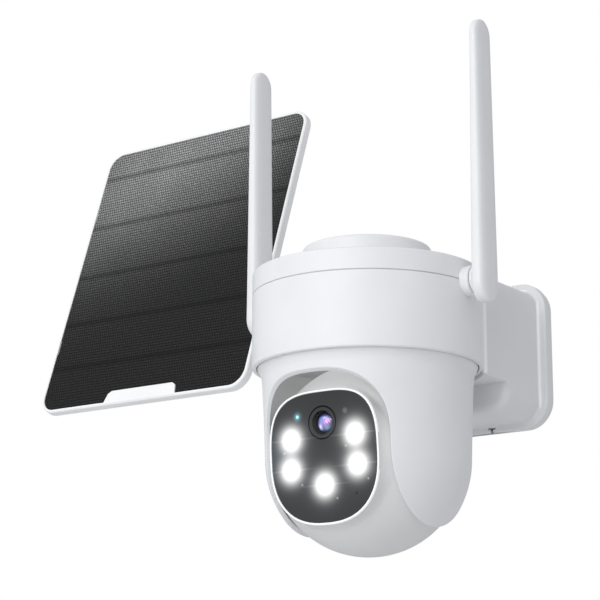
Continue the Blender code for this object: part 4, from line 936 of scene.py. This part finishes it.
def antenna(side):
    name = "antenna_right" if side > 0 else "antenna_left"
    joint = Vector(JOINTS[name + "_hinge"]["pos_m"])
    low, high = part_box(name)
    below, above = joint.z - low.z, high.z - joint.z
    low_end, high_end = BLADE_LOW_CAP - below, above - BLADE_HIGH_CAP
    angles = np.radians(np.linspace(0, 88, 16))
    levels = [(-below + BLADE_LOW_CAP * (1 + sin(a)), cos(a)) for a in -angles[::-1]]
    levels += [(height, 1.0) for height in np.linspace(low_end, high_end, 24)[1:-1]]
    levels += [(above - BLADE_HIGH_CAP * (1 - sin(a)), cos(a)) for a in angles]
    rings = []
    for height, share in levels:
        along = (height + below) / (above + below)
        half_x = (4.1 - 1.5 * along) * MM * (0.25 + 0.75 * sqrt(max(share, 0)))
        half_y = (8.6 - 1.1 * along) * MM * share
        ring = []
        for angle in around(56):
            c, s = cos(angle), sin(angle)
            x = half_x * copysign(abs(c) ** (2 / BLADE_POWER), c)
            y = half_y * copysign(abs(s) ** (2 / BLADE_POWER), s)
            ring.append((x, y, height))
        rings.append(ring)
    obj = sheet(name + "_blade", rings, WHITE, caps=True)
    at = (-side * 4.2 * MM, 0, 0)
    combine(obj, rod("collar", 6.7 * MM, 1.6 * MM, at, ALONG_X, 64, WHITE, 0.4 * MM), "UNION")
    obj.matrix_world = Matrix.Translation(joint)
    piece(bake_place(obj), name, name, sharp=40)

    name = name.replace("_", "_boss_")
    radius = size_of(name)[2] / 2
    face = joint.x * side - 5.3 * MM
    profile = [(0, face), (radius, face), (radius, 53.0 * MM), (0, 53.0 * MM)]
    profile = fillet(profile, mm(0, 0.9, 0, 0), closed=False, count=7)
    turn = Matrix.Rotation(side * pi / 2, 3, "Y")
    obj = bake_place(lathe(name + "_skin", profile, WHITE, (0, joint.y, joint.z), turn, 72))
    drill(obj, turned_sizes("drum_shell")[0] + 0.05 * MM, 60 * MM, (0, DRUM_Y, joint.z), steps=192)
    pin = rod("pin", 3.0 * MM, 6.0 * MM, (side * (face + 2.3 * MM), joint.y, joint.z), ALONG_X, 32)
    combine(obj, bake_place(pin), "UNION")
    wear(obj, WHITE)
    piece(obj, "mount", name)


# --- bracket


ARM_HALF_WIDTH = 46.0 * MM
ARM_TOP = 33.5 * MM
ARM_UNDERSIDE = -19.5 * MM
ARM_BOTTOM = -33.9 * MM
ARM_FRONT_Y = DRUM_Y + 30.0 * MM
ARM_STEP_Y = -40.5 * MM
ARM_BACK_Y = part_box("bracket_arm")[1].y
FLOOR_WALL = 2.6 * MM
SIDE_WALL = 5.6 * MM
FLANGE = 4.5 * MM
FLANGE_FRONT_Y = ARM_BACK_Y - FLANGE
PLATE_CORNER = 14.5 * MM
SKIRT = 1.3 * MM  # reach of the hollow fillet between arm and flange


def round_edges(shape, test, radius, segments):
    edges = [edge for edge in shape.edges if test(edge.verts[0].co, edge.verts[1].co)]
    more = {"profile": 0.5, "affect": "EDGES", "clamp_overlap": True}
    bmesh.ops.bevel(shape, geom=edges, offset=radius, segments=segments, **more)


def arm_block():
    """The arm's side outline drawn across its width, with rounded edges."""
    inside_flange = ARM_BACK_Y - FLANGE * 0.5
    outline = [(inside_flange, ARM_TOP), (ARM_FRONT_Y, ARM_TOP), (ARM_FRONT_Y, ARM_UNDERSIDE)]
    outline += [(ARM_STEP_Y, ARM_UNDERSIDE), (ARM_STEP_Y, ARM_BOTTOM), (inside_flange, ARM_BOTTOM)]
    shape = bmesh.new()
    face = shape.faces.new([shape.verts.new((-ARM_HALF_WIDTH, y, z)) for y, z in outline])
    grown = bmesh.ops.extrude_face_region(shape, geom=[face])["geom"]
    moved = [item for item in grown if isinstance(item, bmesh.types.BMVert)]
    bmesh.ops.translate(shape, vec=(2 * ARM_HALF_WIDTH, 0, 0), verts=moved)
    bmesh.ops.recalc_face_normals(shape, faces=shape.faces)

    def same(first, second):
        return abs(first - second) < GAP

    def long_side(a, b):
        return same(a.x, b.x) and same(a.z, b.z) and (same(a.z, ARM_TOP) or same(a.z, ARM_BOTTOM))

    def front_edges(a, b):
        inside = min(a.y, b.y) > ARM_FRONT_Y + 0.5 * MM and max(a.y, b.y) < FLANGE_FRONT_Y
        low = max(a.z, b.z) < ARM_UNDERSIDE + GAP
        inner_corner = same(a.z, ARM_UNDERSIDE) and same(b.z, ARM_UNDERSIDE) and same(a.y, b.y)
        return inside and low and not inner_corner

    round_edges(shape, long_side, 10.0 * MM, 12)
    round_edges(shape, front_edges, 4.0 * MM, 8)
    return from_bmesh("bracket_skin", shape, WHITE_MATT)


def flange_with_skirt():
    plate = rounded_rectangle(50.5 * MM, 37.8 * MM, PLATE_CORNER, 16)
    flange = slab("bracket_flange", plate, FLANGE_FRONT_Y, ARM_BACK_Y, WHITE_MATT, 0.9 * MM, 0.25 * MM)
    centre_z, half_height = (ARM_TOP + ARM_BOTTOM) / 2, (ARM_TOP - ARM_BOTTOM) / 2
    rings = []
    for angle in np.linspace(0, pi / 2, 7):
        out = SKIRT * (1 - sin(angle)) - 0.05 * MM
        y = FLANGE_FRONT_Y - SKIRT * (1 - cos(angle))
        ring = rounded_rectangle(ARM_HALF_WIDTH + out, half_height + out, 10.0 * MM + out, 13)
        rings.append([(x, y, centre_z + z) for x, z in ring])
    rings.insert(0, [(x, y + 1.0 * MM, z) for x, y, z in rings[0]])
    return combine(flange, sheet("bracket_skirt", rings, WHITE_MATT, caps=True), "UNION")


def hollow_out(arm):
    depth = ARM_BACK_Y - ARM_STEP_Y - FLOOR_WALL
    roof, ground = ARM_TOP - SIDE_WALL, ARM_BOTTOM + FLOOR_WALL
    size = (2 * (ARM_HALF_WIDTH - SIDE_WALL), depth + 10 * MM, roof - ground)
    cut_box(arm, size, (0, ARM_STEP_Y + FLOOR_WALL + depth / 2 + 5 * MM, (roof + ground) / 2))
    wide, deep, _ = size_of("service_flap")
    at = (*middle_of("service_flap")[:2], ARM_BOTTOM)
    cut_box(arm, (wide + 2 * GAP, deep + 4 * GAP, 4.0 * MM), at)
    for name in ("power_button", "reset_button"):
        drill(arm, size_of(name)[0] / 2 + GAP, 20 * MM, (*middle_of(name)[:2], ARM_BOTTOM))
    drill(arm, 4.3 * MM, 20 * MM, (-ARM_HALF_WIDTH, *middle_of("charge_socket")[1:]), ALONG_X)
    # T-shaped notch for the locking screw
    for width, height in ((4.4, 1.0), (1.7, 2.6)):
        cut_box(arm, mm(width, 10, height), mm(18.0, -7.5, -35.2 - height / 2))


def bracket():
    arm = arm_block()
    drill(arm, turned_sizes("drum_shell")[0] + 0.12 * MM, 120 * MM, (0, DRUM_Y, 0), steps=256)
    for side in (-1, 1):
        at = (side * (ARM_HALF_WIDTH - 0.2 * MM), DRUM_Y + 33.4 * MM, ARM_UNDERSIDE + 19.5 * MM)
        combine(arm, bake_place(rod("bead", 1.4 * MM, 38 * MM, at, steps=32, edge=0.6 * MM)), "UNION")
    combine(arm, flange_with_skirt(), "UNION")
    hollow_out(arm)
    # The hollow fillet between arm and flange, and the beads by the drum, glow faintly as painted highlight
    # lines.
    wear(arm, WHITE_MATT, FILLET_PAINTED_HIGHLIGHT)
    for face in arm.data.polygons:
        x, y, z = abs(face.center.x), face.center.y, face.center.z
        on_skirt = FLANGE_FRONT_Y - SKIRT < y < FLANGE_FRONT_Y - 0.02 * MM and z > ARM_BOTTOM + 6 * MM
        outside = x > ARM_HALF_WIDTH or z > ARM_TOP
        on_bead = x > ARM_HALF_WIDTH + 0.05 * MM and y < DRUM_Y + 36 * MM
        face.material_index = int(on_skirt and outside or on_bead)
    piece(arm, "mount", "bracket_arm", sharp=30)


def wall_plate():
    low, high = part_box("wall_plate")
    wide, _, tall = size_of("wall_plate")
    outline = rounded_rectangle(wide / 2, tall / 2, PLATE_CORNER, 16)
    obj = slab("wall_plate_skin", outline, low.y, high.y, WHITE_MATT, 0.3 * MM, 0.5 * MM)
    for name in ("wall_screw_1", "wall_screw_2"):
        x, _, z = middle_of(name)
        drill(obj, 2.3 * MM, 20 * MM, (x, 0, z), ALONG_Y)
    wear(obj, WHITE_MATT)
    piece(obj, "mount", "wall_plate")


# --- solar panel

PANEL_WIDTH = 147.1 * MM
PANEL_HEIGHT = 166.7 * MM
PANEL_CORNER = 9.0 * MM
FRAME_BORDER = 1.6 * MM
FRAME_DEPTH = 4.9 * MM
PIVOT_BACK = 20.0 * MM
PANEL_PLACE = (
    Matrix.Translation(Vector(JOINTS["panel_tilt"]["pos_m"]))
    @ Matrix.Rotation(radians(1.05), 4, "Y")
    @ Matrix.Rotation(radians(-4.13), 4, "Z")
    @ Matrix.Rotation(radians(-17.23), 4, "X")
)


def tab_outline(grow):
    base = -PANEL_HEIGHT / 2 - 1.0 * MM
    top = -PANEL_HEIGHT / 2 + 6.6 * MM + grow
    shoulder = top - 1.6 * MM
    corners = [(27.3, base), (26.2, shoulder), (23.6, top), (-20.6, top), (-23.2, shoulder), (-25.0, base)]
    corners = [(x * MM + copysign(grow, x), z) for x, z in corners]
    return fillet(corners, mm(0, 1.5, 1.2, 1.2, 1.5, 0), count=5)


def laminate_outline():
    """Rounded rectangle with two shallow steps in its left edge."""
    x, z = PANEL_WIDTH / 2 - 0.15 * MM, PANEL_HEIGHT / 2 - 0.15 * MM
    corners = [(x, z), (-x, z)]
    for high, low in ((49.0 * MM, 38.0 * MM), (-39.0 * MM, -48.0 * MM)):
        corners += [(-x, high), (-x + 0.7 * MM, high), (-x + 0.7 * MM, low), (-x, low)]
    corners += [(-x, -z), (x, -z)]
    radii = [PANEL_CORNER] * 2 + [0.3 * MM] * 8 + [PANEL_CORNER] * 2
    return fillet(corners, radii, count=12)


def panel():
    half_x, half_z = PANEL_WIDTH / 2, PANEL_HEIGHT / 2
    sizes = (size + FRAME_BORDER for size in (half_x, half_z, PANEL_CORNER))
    outline = rounded_rectangle(*sizes, 16)
    face_y = -PIVOT_BACK
    front = face_y - 0.4 * MM
    obj = slab("panel_frame_skin", outline, front, front + FRAME_DEPTH, WHITE_PANEL, 1.0 * MM, 0.7 * MM, 7)
    face = rounded_rectangle(half_x, half_z, PANEL_CORNER, 14)
    combine(obj, slab("pocket", face, face_y - 4 * MM, face_y + 2.2 * MM, None))
    rear = rounded_rectangle(half_x - 2 * MM, half_z - 2 * MM, PANEL_CORNER, 14)
    combine(obj, slab("rear_pocket", rear, face_y + 3.0 * MM, face_y + 15 * MM, None))
    combine(obj, slab("tab", tab_outline(0.0), front - 0.2 * MM, front + 3.2 * MM, None, 0.3 * MM), "UNION")
    wear(obj, WHITE_PANEL)
    obj.matrix_world = PANEL_PLACE
    piece(obj, "panel", "panel_frame")

    obj = slab("panel_laminate_skin", laminate_outline(), face_y, face_y + 1.9 * MM, CELLS_WITH_PAINTED_SHEEN)
    combine(obj, slab("notch", tab_outline(0.15 * MM), face_y - 10 * MM, face_y + 10 * MM, None))
    wear(obj, CELLS_WITH_PAINTED_SHEEN)
    obj.matrix_world = PANEL_PLACE
    piece(obj, "panel", "panel_laminate")


# --- cable


def smooth_path(controls, count):
    """Points along a Catmull-Rom curve through the controls."""
    padded = [controls[0], *controls, controls[-1]]
    path = []
    for a, b, c, d in zip(padded, padded[1:], padded[2:], padded[3:]):
        for t in np.linspace(0, 1, count, endpoint=False):
            point = 2 * b + (c - a) * t
            point += (2 * a - 5 * b + 4 * c - d) * t**2
            point += (3 * b - a - 3 * c + d) * t**3
            path.append(point / 2)
    path.append(controls[-1])
    return path


def tube(name, path, radius, finish, count=20):
    """Round cable along a path, with frames carried along it."""
    rings = []
    across = None
    for index, co in enumerate(path):
        ahead = (path[min(index + 1, len(path) - 1)] - path[max(index - 1, 0)]).normalized()
        if across is None:
            across = ahead.orthogonal().normalized()
        across = (across - ahead * across.dot(ahead)).normalized()
        other = ahead.cross(across)
        rings.append([co + (across * cos(a) + other * sin(a)) * radius for a in around(count)])
    return sheet(name, rings, finish, caps=True)


def cable():
    base = Vector(middle_of("panel_wall_base"))
    _, y, z = middle_of("charge_plug")
    start = Vector((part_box("charge_plug")[0].x - GAP, y, z))
    controls = [
        start,
        start + Vector((-11.0, 2.0, -1.5)) * MM,
        start + Vector((-30.0, 12.0, -4.0)) * MM,
        Vector((base.x + 25.0 * MM, -6.0 * MM, start.z - 5.0 * MM)),
        Vector((base.x + 4.0 * MM, -6.0 * MM, start.z + 6.0 * MM)),
        Vector((base.x, -6.0 * MM, base.z - 25.0 * MM)),
    ]
    obj = tube("charge_cable_skin", smooth_path(controls, 16), 2.0 * MM, RUBBER)
    piece(obj, "mount", "charge_cable")


# --- CAD nodes that stay

# Starts of node names. The first entry that fits counts, and other nodes are white.
FINISHES = (
    (WRAP, "battery_cell"),
    (MOTOR, "pan_motor tilt_motor"),
    (STEEL, "bracket_lock_screw cover_screw panel_base_screw panel_tilt_bolt panel_yaw_bolt"),
    (STEEL, "tilt_axle wall_screw"),
    (DARK, "battery_tray charge_socket pan_ panel_junction_box power_ reset_ speaker tilt_"),
    (RUBBER, "charge_ service_flap"),
    (SEAL, "cover_seal"),
    (LAMP, "flood"),
    (BOARD, "led_board main_board sensor_board"),
    (BLACK_MATT, "light_mask"),
    (WHITE_MATT, "turntable"),
)
# Edge roundings in millimetres
SOFT_EDGES = (
    (0.15, "charge_socket panel_base_screw"),
    (0.25, "service_flap panel_yaw_bolt panel_tilt_bolt"),
    (0.3, "panel_junction_box charge_plug power_button reset_button"),
    (0.35, "panel_wall_base panel_swivel_arm"),
    (0.4, "panel_back_cover"),
)


def look_up(table, name, default):
    return next((entry for entry, starts in table if name.startswith(tuple(starts.split()))), default)


def dress_cad_nodes():
    for name, obj in NODES.items():
        wear(obj, look_up(FINISHES, name, WHITE))
        if obj.hide_render:
            continue
        obj.modifiers.new("weld", "WELD").merge_threshold = 0.002 * MM
        edge = look_up(SOFT_EDGES, name, 0)
        if edge:
            flat = obj.modifiers.new("flats", "DECIMATE")
            flat.decimate_type = "DISSOLVE"
            flat.angle_limit = radians(1)
            soft = obj.modifiers.new("soft_edges", "BEVEL")
            soft.width = edge * MM
            soft.segments = 3
            soft.limit_method = "ANGLE"
            soft.angle_limit = radians(42)
        obj.modifiers.new("even_normals", "WEIGHTED_NORMAL").keep_sharp = True


# --- stage


def floor():
    finish = Surface("pale_floor")
    speck = finish.noise(30, 3)
    finish.set(Base_Color=finish.mix(speck, (0.78, 0.78, 0.79), (0.82, 0.82, 0.82)), Roughness=0.8)
    below = finish.node("BsdfTransparent").outputs[0]
    behind = finish.node("NewGeometry").outputs["Backfacing"]
    finish.show(finish.blend(behind, finish.shader.outputs[0], below))
    size, level = 6.0, -0.60
    corners = [(-size, -size, level), (size, -size, level), (size, size, level), (-size, size, level)]
    mesh = bpy.data.meshes.new("floor")
    mesh.from_pydata(corners, [], [(0, 1, 2, 3)])
    mesh.materials.append(finish.material)
    link(bpy.data.objects.new("floor", mesh))


def surroundings():
    """White to the eye, softer as a light, and dimmer from below."""
    world = bpy.data.worlds.new("studio")
    bpy.context.scene.world = world
    world.use_nodes = True
    world.node_tree.nodes.clear()
    made = Nodes(world.node_tree)
    height = made.split(made.node("TexCoord").outputs["Generated"])[2]
    fill = {"Color": (0.965, 0.98, 1.0), "Strength": made.remap(height, -0.9, 0.1, 0.41, 0.59)}
    fill = made.node("Background", fill).outputs[0]
    seen = made.node("Background", {"Color": (1.0, 1.0, 1.0), "Strength": 1.0}).outputs[0]
    direct = made.node("LightPath").outputs["Is Camera Ray"]
    made.node("OutputWorld", {"Surface": made.blend(direct, fill, seen)})


def light(name, at, target, size, power):
    data = bpy.data.lights.new(name, "AREA")
    data.shape = "RECTANGLE"
    data.size, data.size_y = size
    data.energy = power
    obj = link(bpy.data.objects.new(name, data))
    obj.location = at
    obj.rotation_euler = (Vector(target) - Vector(at)).to_track_quat("-Z", "Y").to_euler()


def camera():
    data = bpy.data.cameras.new("camera")
    data.sensor_width = 36.0
    data.lens = 123.10
    data.clip_end = 50
    obj = link(bpy.data.objects.new("camera", data))
    obj.location = (0.53301, -0.90968, -0.21890)
    obj.rotation_euler = (radians(103.644), 0, radians(35.139))
    bpy.context.scene.camera = obj


drum()
yoke()
ball()
window()
antenna(-1)
antenna(1)
bracket()
wall_plate()
panel()
cable()
dress_cad_nodes()
floor()
surroundings()
light("key", (0.10, -2.0, 0.55), (0, -0.08, 0), (1.6, 1.2), 18.6)
light("sheen", (-1.25, -0.85, 1.35), (-0.15, -0.05, 0.1), (0.8, 0.8), 3.0)
camera()
bpy.context.scene.view_settings.view_transform = "Standard"
